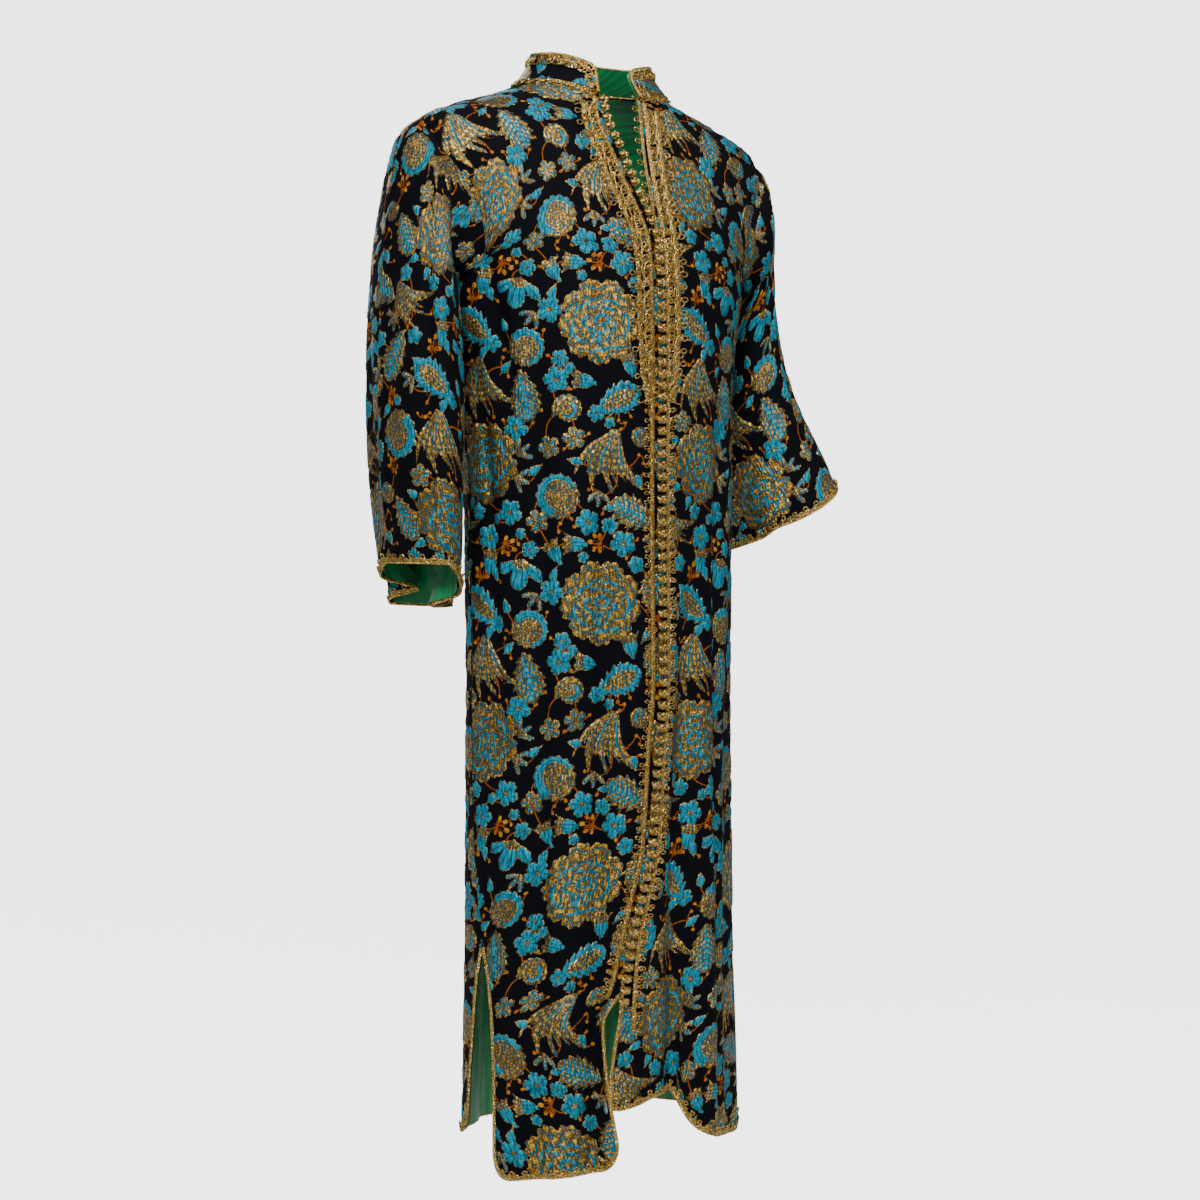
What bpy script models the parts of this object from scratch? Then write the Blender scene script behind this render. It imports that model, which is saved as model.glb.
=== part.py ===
"""Moroccan kaftan in its worn hollow form. Metres, +Z up, front toward -Y, wearer's left toward +X.
The origin is the centre of the neck base, level with the shoulder seam's neck end."""

import bmesh
import bpy
import numpy as np

BROCADE_WALL = 0.0015
LINING_WALL = 0.0010
LAYER_GAP = 0.0004
TRIM_LIFT = 0.0005
BRAID_HEIGHT = 0.0016
BRAID_TOP = TRIM_LIFT + BRAID_HEIGHT
EDGE_BRAID_RADIUS = 0.0026
EDGE_BRAID_REACH = 0.0032
COLLAR_HEIGHT = 0.032
COLLAR_LEAN = 0.013
BUTTON_PITCH = 0.0132
BUTTON_RADIUS = 0.0064
FOLD_RAMP = 0.30
SHOULDER_TILT = 0.040
SEAM_DEGREES = 0.25
CLOSING_DEGREES = 0.18

# Horizontal sections of the outer face: half width, front and back reach, and where the side line lies.
SECTIONS = {
    "z": (-1.310, -1.150, -1.000, -0.800, -0.600, -0.450, -0.300, -0.220,
          -0.150, -0.090, -0.055, -0.035, -0.015, 0.000, 0.012, 0.030),
    "half_width": (0.178, 0.175, 0.172, 0.170, 0.170, 0.173, 0.186, 0.202,
                   0.221, 0.232, 0.218, 0.172, 0.116, 0.086, 0.068, 0.060),
    "front": (0.160, 0.158, 0.156, 0.154, 0.152, 0.150, 0.149, 0.144,
              0.128, 0.107, 0.094, 0.086, 0.079, 0.075, 0.073, 0.072),
    "back": (0.098, 0.095, 0.093, 0.092, 0.090, 0.092, 0.100, 0.106,
             0.108, 0.105, 0.099, 0.092, 0.086, 0.080, 0.074, 0.072),
    "middle_x": (0.004, 0.004, 0.004, 0.004, 0.004, 0.003, 0.000, 0.000,
                 0.000, 0.000, 0.000, 0.000, 0.000, 0.000, 0.000, 0.000),
    "side_y": (-0.018, -0.017, -0.016, -0.015, -0.015, -0.014, -0.012, -0.009,
               -0.006, -0.003, -0.001, 0.000, 0.002, 0.003, 0.004, 0.004),
}

# Hanging folds: angle from centre front at the waist and at the hem, where each begins, spread and depth.
FOLDS = {
    "waist_angle": (25, -25, -52, 58, 132, 166, 198, 232, 40, -72),
    "hem_angle": (12, -30, -56, 50, 126, 160, 204, 238, 30, -62),
    "start_z": (-0.42, -0.45, -0.60, -0.50, -0.40, -0.35, -0.40, -0.45, -0.75, -0.75),
    "spread": (7.5, 8.0, 8.0, 9.0, 11.0, 9.0, 10.0, 10.0, 7.0, 7.0),
    "depth": (0.026, 0.009, 0.007, 0.010, 0.015, 0.017, 0.015, 0.014, -0.006, -0.005),
}

# Front panels row by row, shoulder seam to hem. Angles run from centre front to each side.
FRONT_ROWS = {
    "right_inner": (90, 53, 26, 14.0, 6.5, 2.4, -2.9, -3.0, -2.7, -1.9,
                    -1.5, -1.6, 1.0, 3.4, 8.3, 12.4, 16.2, 23.2, 20.9, 17.4),
    "left_inner": (90, 53, 22, 9.8, 3.4, 2.5, 2.9, 3.0, 2.7, 1.9,
                   1.5, 1.6, -1.0, -3.4, -8.3, -12.4, -14.6, -15.3, -16.3, -16.0),
    "inner_z": (0.0, -0.004, -0.012, -0.019, -0.070, -0.130, -0.203, -0.290, -0.370, -0.460, -0.580, -0.700,
                -0.800, -0.895, -0.960, -1.010, -1.062, -1.105, -1.185, -1.269),
    "outer": (90, 79, 68, 61, 60, 67, 90, 90, 90, 90, 90, 90, 89, 87, 84, 80, 74.5, 71.5, 70, 69.5),
    "outer_z": (-0.048, -0.072, -0.105, -0.145, -0.187, -0.225, -0.252, -0.320, -0.390, -0.470, -0.580,
                -0.700, -0.800, -0.895, -0.955, -1.005, -1.060, -1.120, -1.195, -1.283),
}
# The back's armhole, its side slit, and its neck and centre line.
BACK_OUTER = (90, 101, 112, 119, 120, 113, 90)
BACK_SLIT_OUTER = (84.5, 87.0, 90.0, 90.5)
BACK_INNER = (90, 128, 160, 180)
BACK_INNER_Z = (0.0, 0.006, 0.010, 0.012, -0.060, -0.130, -0.200, -0.290, -0.370, -0.460, -0.580, -0.700,
                -0.800, -0.895, -0.955, -1.005, -1.060, -1.120, -1.180, -1.238)
BACK_HEM_Z = -1.240
LEFT_HEM = {
    "angle": (-17, -13, -8, -2, 9.5, 13, 15, 17, 20, 24, 29.5, 55, 69, 90),
    "z": (-1.204, -1.199, -1.196, -1.186, -1.184, -1.184, -1.188,
          -1.215, -1.232, -1.240, -1.246, -1.255, -1.256, -1.252),
}
COLLAR_END_ROW = 3
NECK_CLOSED_ROW = 6
CHEST_BRAID_END_ROW = 8
LINING_FROM_ROW = 12
SIDE_SLIT_ROW = 15
FRONT_SLIT_ROW = 16
BRAID_COLUMNS = (0.0, 0.0075, 0.0190, 0.0300, 0.0420)
FRONT_COLUMNS = 18
BACK_COLUMNS = 13
HEM_CORNER = 0.022

# Sleeves ring by ring below the armhole, for the wearer's right and left.
RIGHT_SLEEVE = {
    "outer_x": (0.252, 0.264, 0.273, 0.278, 0.281, 0.281, 0.278, 0.272, 0.266),
    "outer_z": (-0.072, -0.125, -0.190, -0.260, -0.335, -0.410, -0.480, -0.545, -0.592),
    "inner_x": (0.2065, 0.2010, 0.1960, 0.1925, 0.1905, 0.1900, 0.1905, 0.1910, 0.1915),
    "inner_z": (-0.258, -0.276, -0.306, -0.350, -0.402, -0.458, -0.515, -0.562, -0.596),
    "centre_y": (-0.010, -0.007, -0.005, -0.004, -0.004, -0.004, -0.004, -0.004, -0.004),
    "half_y": (0.068, 0.077, 0.084, 0.088, 0.089, 0.087, 0.083, 0.078, 0.074),
    "lift": (0.000, 0.000, 0.000, 0.000, 0.002, 0.006, 0.012, 0.018, 0.024),
    "lift_angle": (50.0,) * 9,
    "pinch": (0.0, 0.0, 0.0, 0.0, 0.0, 0.05, 0.25, 0.60, 1.0),
}
LEFT_SLEEVE = {
    "outer_x": (0.235, 0.243, 0.248, 0.254, 0.264, 0.279, 0.296, 0.309, 0.318),
    "outer_z": (-0.084, -0.128, -0.185, -0.245, -0.305, -0.360, -0.410, -0.450, -0.482),
    "inner_x": (0.2085, 0.2030, 0.1985, 0.1955, 0.1945, 0.1965, 0.2010, 0.2060, 0.2100),
    "inner_z": (-0.258, -0.274, -0.300, -0.338, -0.385, -0.435, -0.485, -0.520, -0.546),
    "centre_y": (0.000, 0.008, 0.014, 0.016, 0.012, 0.002, -0.012, -0.024, -0.032),
    "half_y": (0.067, 0.074, 0.079, 0.081, 0.082, 0.082, 0.082, 0.082, 0.082),
    "lift": (0.000, 0.000, 0.000, 0.000, 0.000, 0.002, 0.006, 0.010, 0.013),
    "lift_angle": (0.0,) * 9,
    "pinch": (0.0, 0.0, 0.0, 0.0, 0.0, 0.0, 0.05, 0.12, 0.2),
}
# Deep pinches at the cuff: where, how wide, and how far toward the body and toward the front.
PINCHES = {
    "angle": (150.0, 285.0, 247.0),
    "spread": (11.5, 12.0, 13.0),
    "to_body": (0.036, -0.030, 0.020),
    "to_front": (0.027, 0.000, 0.000),
}
SLEEVE_LINING_FROM = 6
ARMHOLE_GAP = 0.0008
COLLAR_STEPS = 26

BROCADE_COLOUR = (0.05, 0.12, 0.15, 1.0)
LINING_COLOUR = (0.01, 0.30, 0.10, 1.0)
GOLD_COLOUR = (0.55, 0.36, 0.12, 1.0)


def smooth(xs, ys, x):
    """Reads a table with a smooth curve through its entries."""
    xs = np.asarray(xs, float)
    ys = np.asarray(ys, float)
    slopes = np.gradient(ys, xs)
    x = np.clip(np.asarray(x, float), xs[0], xs[-1])
    i = np.clip(np.searchsorted(xs, x) - 1, 0, len(xs) - 2)
    h = xs[i + 1] - xs[i]
    t = (x - xs[i]) / h
    start = ys[i] * (1 + 2 * t) * (1 - t) ** 2 + slopes[i] * h * t * (1 - t) ** 2
    end = ys[i + 1] * t**2 * (3 - 2 * t) - slopes[i + 1] * h * t**2 * (1 - t)
    return start + end


def fold_depth(angle, z):
    """How far the cloth sinks toward the middle at this angle and height."""
    sunk = np.zeros_like(angle)
    for waist, hem, start, spread, depth in zip(*FOLDS.values()):
        down = np.clip((start - z) / FOLD_RAMP, 0.0, 1.0)
        grown = down * down * (3 - 2 * down) * np.clip(0.55 - 0.45 * (z + 0.6) / 0.6, 0.5, 1.0)
        run = np.clip((-0.50 - z) / 0.65, 0.0, 1.0)
        centre = waist + (hem - waist) * (1 - (1 - run) ** 2)
        away = (angle - centre + 180.0) % 360.0 - 180.0
        sunk = sunk + depth * grown * np.exp(-((away / spread) ** 2))
    return sunk


def body(angle, z):
    """Points of the outer face; the angle is in degrees from centre front toward the wearer's left."""
    angle = np.asarray(angle, float)
    z = np.asarray(z, float)
    half_width = smooth(SECTIONS["z"], SECTIONS["half_width"], z)
    side_y = smooth(SECTIONS["z"], SECTIONS["side_y"], z)
    front = smooth(SECTIONS["z"], SECTIONS["front"], z) + side_y
    back = smooth(SECTIONS["z"], SECTIONS["back"], z) - side_y
    turn = np.radians(angle)
    kept = 1.0 - fold_depth(angle, z) / np.hypot(half_width * np.sin(turn), front * np.cos(turn))
    x = half_width * np.sin(turn) * kept
    y = side_y - np.where(np.cos(turn) > 0, front, back) * np.cos(turn) * kept
    near_shoulder = np.clip((z + 0.30) / 0.25, 0.0, 1.0)
    tilted = z - SHOULDER_TILT * x * near_shoulder
    x = x + smooth(SECTIONS["z"], SECTIONS["middle_x"], z)
    return np.stack([x, y, tilted], axis=-1)


def body_normal(angle, z):
    across = body(angle + 0.4, z) - body(angle - 0.4, z)
    up = body(angle, z + 0.0015) - body(angle, z - 0.0015)
    normal = np.cross(across, up)
    return normal / np.linalg.norm(normal, axis=-1, keepdims=True)


def corner_rise(distance):
    """How far a rounded hem corner rises this near to the slit."""
    near = np.clip(1.0 - distance / HEM_CORNER, 0.0, 1.0)
    return HEM_CORNER * (1.0 - np.sqrt(1.0 - near**2))


def column_shares(row_width):
    """Column places across a front: fixed distances for the braids, then even steps."""
    fixed = np.array(BRAID_COLUMNS) / row_width
    fixed = fixed * min(1.0, 0.5 / fixed[-1])
    rest = np.linspace(fixed[-1], 1.0, FRONT_COLUMNS - len(BRAID_COLUMNS) + 1)[1:]
    return np.concatenate([fixed, rest])


def front_grid(side):
    """Angles and heights of one front's grid; side is -1 for the wearer's right and 1 for the left."""
    inner = np.array(FRONT_ROWS["right_inner" if side < 0 else "left_inner"], float) * side
    inner[1:] = inner[1:] + side * CLOSING_DEGREES
    outer = np.array(FRONT_ROWS["outer"], float) * side
    inner[0] = side * (90.0 - SEAM_DEGREES)
    outer = np.where(np.abs(outer) > 89.9, side * (90.0 - SEAM_DEGREES), outer)
    inner_z = np.array(FRONT_ROWS["inner_z"])
    outer_z = np.array(FRONT_ROWS["outer_z"])
    angles = np.zeros((len(inner), FRONT_COLUMNS))
    heights = np.zeros_like(angles)
    for row in range(len(inner)):
        line = body(np.linspace(inner[row], outer[row], 40), np.linspace(inner_z[row], outer_z[row], 40))
        width = np.linalg.norm(np.diff(line, axis=0), axis=1).sum()
        share = column_shares(width)
        angles[row] = inner[row] + (outer[row] - inner[row]) * share
        heights[row] = inner_z[row] + (outer_z[row] - inner_z[row]) * share
    share = column_shares(width)
    hem_distance = np.minimum(share, 1.0 - share) * width
    if side > 0:
        heights[-1] = np.interp(angles[-1], LEFT_HEM["angle"], LEFT_HEM["z"])
        below = np.linspace(0.0, 1.0, 5)[1:-1]
        for row, part in zip((-4, -3, -2), below):
            heights[row] = heights[-5] + (heights[-1] - heights[-5]) * part
    heights[-1] = heights[-1] + corner_rise(hem_distance)
    return angles, heights


def back_grid(side):
    """Angles and heights of one half of the back, from the neck and centre back to the armhole and side."""
    outer = np.array(FRONT_ROWS["outer"], float) + SEAM_DEGREES
    outer[: len(BACK_OUTER)] = BACK_OUTER
    outer[[0, NECK_CLOSED_ROW]] = 90.0 + SEAM_DEGREES
    outer[SIDE_SLIT_ROW + 1 :] = BACK_SLIT_OUTER
    inner = np.full(len(outer), 180.0)
    inner[: len(BACK_INNER)] = BACK_INNER
    inner[0] = 90.0 + SEAM_DEGREES
    inner_z = np.array(BACK_INNER_Z)
    outer_z = np.array(FRONT_ROWS["outer_z"])
    outer_z[-1] = BACK_HEM_Z
    share = np.linspace(0.0, 1.0, BACK_COLUMNS)
    angles = inner[:, None] + (outer - inner)[:, None] * share
    heights = inner_z[:, None] + (outer_z - inner_z)[:, None] * share
    heights[-1] = heights[-1] + corner_rise((1.0 - share) * 0.25)
    return angles * side, heights


def sleeve_rings(side, table):
    """Rings of one sleeve's outer face from the armhole down, each from the shoulder round by the front."""
    last = NECK_CLOSED_ROW + 1
    height = np.array(FRONT_ROWS["outer_z"][:last])
    angles = np.concatenate([FRONT_ROWS["outer"][:last], BACK_OUTER[last - 2 : 0 : -1]]) * side
    heights = np.concatenate([height, height[-2:0:-1]])
    edge = body(angles, heights)
    edge_facing = body_normal(angles, heights)
    armhole = np.stack([edge, (edge + np.roll(edge, -1, axis=0)) / 2], axis=1).reshape(-1, 3)
    between = edge_facing + np.roll(edge_facing, -1, axis=0)
    facing = unit(np.stack([edge_facing, between], axis=1).reshape(-1, 3))
    along = np.roll(armhole, -1, axis=0) - np.roll(armhole, 1, axis=0)
    away = unit(np.cross(along, facing))
    away = away * np.sign((away * [side, 0.0, 0.0]).sum())
    armhole = armhole + away * ARMHOLE_GAP
    armhole[:, 0] = armhole[:, 0] + side * ARMHOLE_GAP / 2
    around = np.linspace(90.0, -270.0, len(armhole), endpoint=False)
    turn = np.radians(around)
    rings = [armhole]
    for k in range(len(table["outer_x"])):
        row = {name: values[k] for name, values in table.items()}
        half_x = (row["outer_x"] - row["inner_x"]) / 2
        half_z = (row["outer_z"] - row["inner_z"]) / 2
        x = half_x * np.sin(turn) + (row["outer_x"] + row["inner_x"]) / 2
        y = -row["half_y"] * np.cos(turn) + row["centre_y"]
        for angle, spread, to_body, to_front in zip(*PINCHES.values()):
            away = (around - angle + 180.0) % 360.0 - 180.0
            share = row["pinch"] * np.exp(-((away / spread) ** 2))
            x = x - to_body * share
            y = y - to_front * share
        lift = row["lift"] * np.clip(1.6 * np.cos(np.radians(around - row["lift_angle"])), -1.0, 1.0)
        z = (row["outer_z"] + row["inner_z"]) / 2 + half_z * np.sin(turn) + lift
        rings.append(np.stack([side * x, y, z], axis=-1))
    rings = np.array(rings)
    normals = tube_normals(rings)
    normals[0] = unit(normals[0] + facing)
    return rings, normals


def tube_normals(rings):
    """Normals that point out of a stack of closed rings."""
    around = np.roll(rings, -1, axis=1) - np.roll(rings, 1, axis=1)
    along = np.gradient(rings, axis=0)
    normals = np.cross(around, along)
    normals = normals / np.linalg.norm(normals, axis=-1, keepdims=True)
    outward = rings - rings.mean(axis=1, keepdims=True)
    return normals * np.sign((normals * outward).sum())


def material(name, colour, metallic, roughness):
    made = bpy.data.materials.new(name)
    made.use_nodes = True
    shader = made.node_tree.nodes["Principled BSDF"]
    shader.inputs["Base Color"].default_value = colour
    shader.inputs["Metallic"].default_value = metallic
    shader.inputs["Roughness"].default_value = roughness
    return made


def add_object(name, points, faces, look):
    """One closed body with its own material."""
    mesh = bpy.data.meshes.new(name)
    mesh.from_pydata([tuple(map(float, point)) for point in points], [], faces)
    shape = bmesh.new()
    shape.from_mesh(mesh)
    bmesh.ops.remove_doubles(shape, verts=shape.verts, dist=0.00001)
    bmesh.ops.recalc_face_normals(shape, faces=shape.faces)
    shape.to_mesh(mesh)
    shape.free()
    obj = bpy.data.objects.new(name, mesh)
    bpy.context.scene.collection.objects.link(obj)
    mesh.materials.append(material(name + "_look", *look))
    return obj


def shell(name, outer, inner, quads, look):
    """A wall between two copies of a sheet, closed along the sheet's open edges."""
    count = len(outer)
    faces = [half for a, b, c, d in quads for half in ((a, b, c), (a, c, d))]
    faces += [tuple(index + count for index in reversed(face)) for face in list(faces)]
    uses = {}
    for quad in quads:
        for a, b in zip(quad, quad[1:] + quad[:1]):
            uses.setdefault(frozenset((a, b)), []).append((a, b))
    for found in uses.values():
        if len(found) == 1:
            a, b = found[0]
            faces.append((b, a, a + count, b + count))
    return add_object(name, np.concatenate([outer, inner]), faces, look)


def grid_quads(rows, columns, start=0, closed=False):
    quads = []
    for row in range(rows - 1):
        for column in range(columns if closed else columns - 1):
            after = (column + 1) % columns
            a = start + row * columns + column
            b = start + row * columns + after
            quads.append((a, b, b + columns, a + columns))
    return quads


def grid_shell(name, points, normals, lift, thickness, look, closed=False):
    """A wall over a grid of points, its outer face moved out by lift."""
    rows, columns = points.shape[:2]
    outer = (points + normals * lift).reshape(-1, 3)
    inner = (points + normals * (lift - thickness)).reshape(-1, 3)
    return shell(name, outer, inner, grid_quads(rows, columns, closed=closed), look)


def tube(name, path, first_axis, second_axis, radii, look, sides=4, closed=False):
    """A cord along a path, with its section set out on two axes at each point."""
    turn = np.linspace(0.0, 2 * np.pi, sides, endpoint=False) + np.pi / sides
    ring = np.cos(turn)[None, :, None] * first_axis[:, None]
    ring = ring + np.sin(turn)[None, :, None] * second_axis[:, None]
    points = path[:, None] + ring * np.asarray(radii)[:, None, None]
    faces = []
    count = len(path)
    for row in range(count if closed else count - 1):
        for side in range(sides):
            after = (side + 1) % sides
            here = row * sides
            below = (row + 1) % count * sides
            faces.append((here + side, here + after, below + after, below + side))
    if not closed:
        faces.append(tuple(reversed(range(sides))))
        faces.append(tuple((count - 1) * sides + side for side in range(sides)))
    return add_object(name, points.reshape(-1, 3), faces, look)


def unit(vectors):
    return vectors / np.linalg.norm(vectors, axis=-1, keepdims=True)


def edge_braid(name, path, normals, inward, closed=False):
    """The cord along a free edge, set just beyond the wall."""
    ahead = np.roll(path, -1, axis=0) - np.roll(path, 1, axis=0)
    if not closed:
        ahead[0] = path[1] - path[0]
        ahead[-1] = path[-1] - path[-2]
    away = unit(np.cross(ahead, normals))
    away = away * np.sign((away * -inward).sum(axis=-1, keepdims=True))
    centre = path + away * EDGE_BRAID_REACH - normals * BROCADE_WALL / 2
    radii = np.full(len(path), EDGE_BRAID_RADIUS)
    return tube(name, centre, away, unit(normals), radii, GOLD, closed=closed)


def grid_edge(points, normals, row_start):
    """The free edge of a front: down the inner slit, along the hem, up the outer slit."""
    last = points.shape[0] - 1
    cells = [(row, 0) for row in range(row_start[0], last)]
    cells += [(last, column) for column in range(points.shape[1])]
    cells += [(row, points.shape[1] - 1) for row in range(last - 1, row_start[1] - 1, -1)]
    path = np.array([points[cell] for cell in cells])
    facing = np.array([normals[cell] for cell in cells])
    return path, facing


BROCADE = (BROCADE_COLOUR, 0.3, 0.45)
LINING = (LINING_COLOUR, 0.0, 0.35)
GOLD = (GOLD_COLOUR, 0.8, 0.4)

for old in list(bpy.data.objects):
    bpy.data.objects.remove(old)

LINING_LIFT = -(BROCADE_WALL + LAYER_GAP)

# Fronts, their skirt linings, placket braid and chest braid.
fronts = {}
for side, hand in ((-1, "right"), (1, "left")):
    angles, heights = front_grid(side)
    points = body(angles, heights)
    normals = body_normal(angles, heights)
    fronts[side] = (points, normals)
    grid_shell("front_" + hand, points, normals, 0.0, BROCADE_WALL, BROCADE)
    low = slice(LINING_FROM_ROW, None)
    grid_shell("lining_front_" + hand, points[low], normals[low], LINING_LIFT, LINING_WALL, LINING)
    placket = (slice(COLLAR_END_ROW, FRONT_SLIT_ROW + 1), slice(1, 3))
    grid_shell("placket_braid_" + hand, points[placket], normals[placket], BRAID_TOP, BRAID_HEIGHT, GOLD)
    chest = (slice(COLLAR_END_ROW, CHEST_BRAID_END_ROW + 1), slice(3, 5))
    grid_shell("chest_braid_" + hand, points[chest], normals[chest], BRAID_TOP, BRAID_HEIGHT, GOLD)
    path, facing = grid_edge(points, normals, (FRONT_SLIT_ROW + 1, SIDE_SLIT_ROW + 1))
    edge_braid("hem_braid_" + hand, path, facing, points[-6, 9] - path)

# Back in one piece, from two halves that meet at the centre line.
halves = [back_grid(1), back_grid(-1)]
rows, columns = halves[0][0].shape
back_points = [body(angles, heights) for angles, heights in halves]
back_normals = [body_normal(angles, heights) for angles, heights in halves]


def back_shell(name, first_row, lift, thickness, look):
    """A wall over both halves of the back, joined where they share the centre line."""
    used = [points[first_row:] for points in back_points]
    facing = [normals[first_row:] for normals in back_normals]
    count = used[0].shape[0]
    outer = np.concatenate([(p + n * lift).reshape(-1, 3) for p, n in zip(used, facing)])
    inner = np.concatenate([(p + n * (lift - thickness)).reshape(-1, 3) for p, n in zip(used, facing)])
    quads = grid_quads(count, columns)
    mirrored = grid_quads(count, columns, start=count * columns)
    shared = {}
    for row in range(count):
        if row + first_row >= len(BACK_INNER) - 1:
            shared[count * columns + row * columns] = row * columns
    quads += [tuple(shared.get(index, index) for index in reversed(quad)) for quad in mirrored]
    used_indices = sorted({index for quad in quads for index in quad})
    renumber = {index: place for place, index in enumerate(used_indices)}
    quads = [tuple(renumber[index] for index in quad) for quad in quads]
    return shell(name, outer[used_indices], inner[used_indices], quads, look)


back_shell("back", 0, 0.0, BROCADE_WALL, BROCADE)
back_shell("lining_back", LINING_FROM_ROW, LINING_LIFT, LINING_WALL, LINING)
edge_path = []
edge_facing = []
for points, normals, order in ((back_points[0], back_normals[0], -1), (back_points[1], back_normals[1], 1)):
    last = rows - 1
    cells = [(last, column) for column in range(0 if order < 0 else 1, columns)]
    cells += [(row, columns - 1) for row in range(last - 1, SIDE_SLIT_ROW, -1)]
    cells = cells[::order]
    edge_path += [points[cell] for cell in cells]
    edge_facing += [normals[cell] for cell in cells]
edge_path = np.array(edge_path)
edge_facing = np.array(edge_facing)
edge_braid("hem_braid_back", edge_path, edge_facing, back_points[0][-6, 0] - edge_path)

# Sleeves, their cuff linings and cuff braids.
for side, hand, table in ((-1, "right", RIGHT_SLEEVE), (1, "left", LEFT_SLEEVE)):
    rings, normals = sleeve_rings(side, table)
    grid_shell("sleeve_" + hand, rings, normals, 0.0, BROCADE_WALL, BROCADE, closed=True)
    low = slice(SLEEVE_LINING_FROM, None)
    name = "lining_sleeve_" + hand
    grid_shell(name, rings[low], normals[low], LINING_LIFT, LINING_WALL, LINING, closed=True)
    edge_braid("cuff_braid_" + hand, rings[-1], normals[-1], rings[-2] - rings[-1], closed=True)

# Collar, its facing and its braid, raised from the neck edge of the fronts and back.
base = [points[row, 0] for row, points in ((r, fronts[-1][0]) for r in range(COLLAR_END_ROW, -1, -1))]
base += [back_points[1][row, 0] for row in range(0, len(BACK_INNER))]
base += [back_points[0][row, 0] for row in range(len(BACK_INNER) - 2, -1, -1)]
base += [fronts[1][0][row, 0] for row in range(0, COLLAR_END_ROW + 1)]
base = np.array(base)
measure = np.concatenate([[0.0], np.cumsum(np.linalg.norm(np.diff(base, axis=0), axis=1))])
even = np.linspace(0.0, measure[-1], COLLAR_STEPS + 1)
seam = np.stack([np.interp(even, measure, base[:, axis]) for axis in range(3)], axis=-1)
centre = np.array([0.0, 0.002, 0.0])
spread = seam - centre
spread[:, 2] = 0.0
outward = unit(spread)
levels = np.linspace(0.0, 1.0, 3)
end_round = np.clip(np.minimum(even, measure[-1] - even) / 0.008, 0.0, 1.0)
collar_points = []
for level in levels:
    rise = 0.0012 + COLLAR_HEIGHT * level
    ring = seam - outward * COLLAR_LEAN * level + np.array([0.0, 0.0, 1.0]) * rise
    ring[:, 2] = ring[:, 2] - 0.004 * level * (1.0 - end_round)
    collar_points.append(ring)
collar_points = np.array(collar_points)
collar_normals = np.repeat(unit(outward + np.array([0.0, 0.0, 0.35]))[None], len(levels), axis=0)
grid_shell("collar", collar_points, collar_normals, 0.0, BROCADE_WALL, BROCADE)
grid_shell("collar_facing", collar_points, collar_normals, LINING_LIFT, LINING_WALL, LINING)
collar_edge = [collar_points[row, 0] for row in range(len(levels) - 1)]
collar_edge += list(collar_points[-1])
collar_edge += [collar_points[row, -1] for row in range(len(levels) - 2, -1, -1)]
collar_edge = np.array(collar_edge)
edge_normals = np.concatenate([collar_normals[:-1, 0], collar_normals[-1], collar_normals[-2::-1, -1]])
edge_braid("collar_braid", collar_edge, edge_normals, collar_points[0, COLLAR_STEPS // 2] - collar_edge)
seam_axis = unit(outward * 0.85 + np.array([0.0, 0.0, 0.55]))
seam_path = seam + seam_axis * 0.0048
seam_across = unit(np.cross(seam_axis, np.gradient(seam_path, axis=0)))
tube("neck_seam_braid", seam_path, seam_axis, seam_across, np.full(len(seam), 0.0028), GOLD)


def resample(path, pitch):
    """Points at an even pitch along a path."""
    run = np.concatenate([[0.0], np.cumsum(np.linalg.norm(np.diff(path, axis=0), axis=1))])
    count = max(2, int(round(run[-1] / pitch)))
    places = np.linspace(0.0, run[-1], count + 1)
    return np.stack([np.interp(places, run, path[:, axis]) for axis in range(path.shape[1])], axis=-1)


def button_row(name, path, facing, radius, pitch):
    """Knot buttons in a row, as a cord that swells at each knot."""
    joined = resample(np.concatenate([path, facing], axis=1), pitch)
    spots = joined[:, :3]
    normals = unit(joined[:, 3:])
    middle = (spots[:-1] + spots[1:]) / 2
    half_pitch = (spots[1:] - spots[:-1]) * 0.30
    knots = np.stack([middle - half_pitch, middle + half_pitch], axis=1).reshape(-1, 3)
    centres = np.concatenate([spots[:1], knots, spots[-1:]])
    lift = np.repeat((normals[:-1] + normals[1:]) / 2, 2, axis=0)
    lift = np.concatenate([normals[:1], lift, normals[-1:]])
    radii = np.full(len(centres), radius)
    necks = np.arange(len(centres))
    radii[(necks == 0) | (necks == len(centres) - 1)] = radius * 0.5
    waists = np.arange(3, len(centres) - 1, 2)
    shape = np.insert(centres, waists, (centres[2:-2:2] + centres[3:-1:2]) / 2, axis=0)
    lifts = np.insert(lift, waists, lift[3:-1:2], axis=0)
    sizes = np.insert(radii, waists, radius * 0.55, axis=0)
    path = shape + unit(lifts) * (radius * 0.72 + TRIM_LIFT + 0.0012)
    ahead = np.gradient(path, axis=0)
    across = unit(np.cross(ahead, lifts))
    upright = unit(np.cross(across, ahead))
    return tube(name, path, across, upright * 0.8, sizes, GOLD, sides=5)


closed_rows = slice(NECK_CLOSED_ROW, FRONT_SLIT_ROW + 1)
closing = (fronts[-1][0][closed_rows, 0] + fronts[1][0][closed_rows, 0]) / 2
closing_normals = (fronts[-1][1][closed_rows, 0] + fronts[1][1][closed_rows, 0]) / 2
button_row("front_buttons", closing, closing_normals, BUTTON_RADIUS, BUTTON_PITCH)

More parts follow.
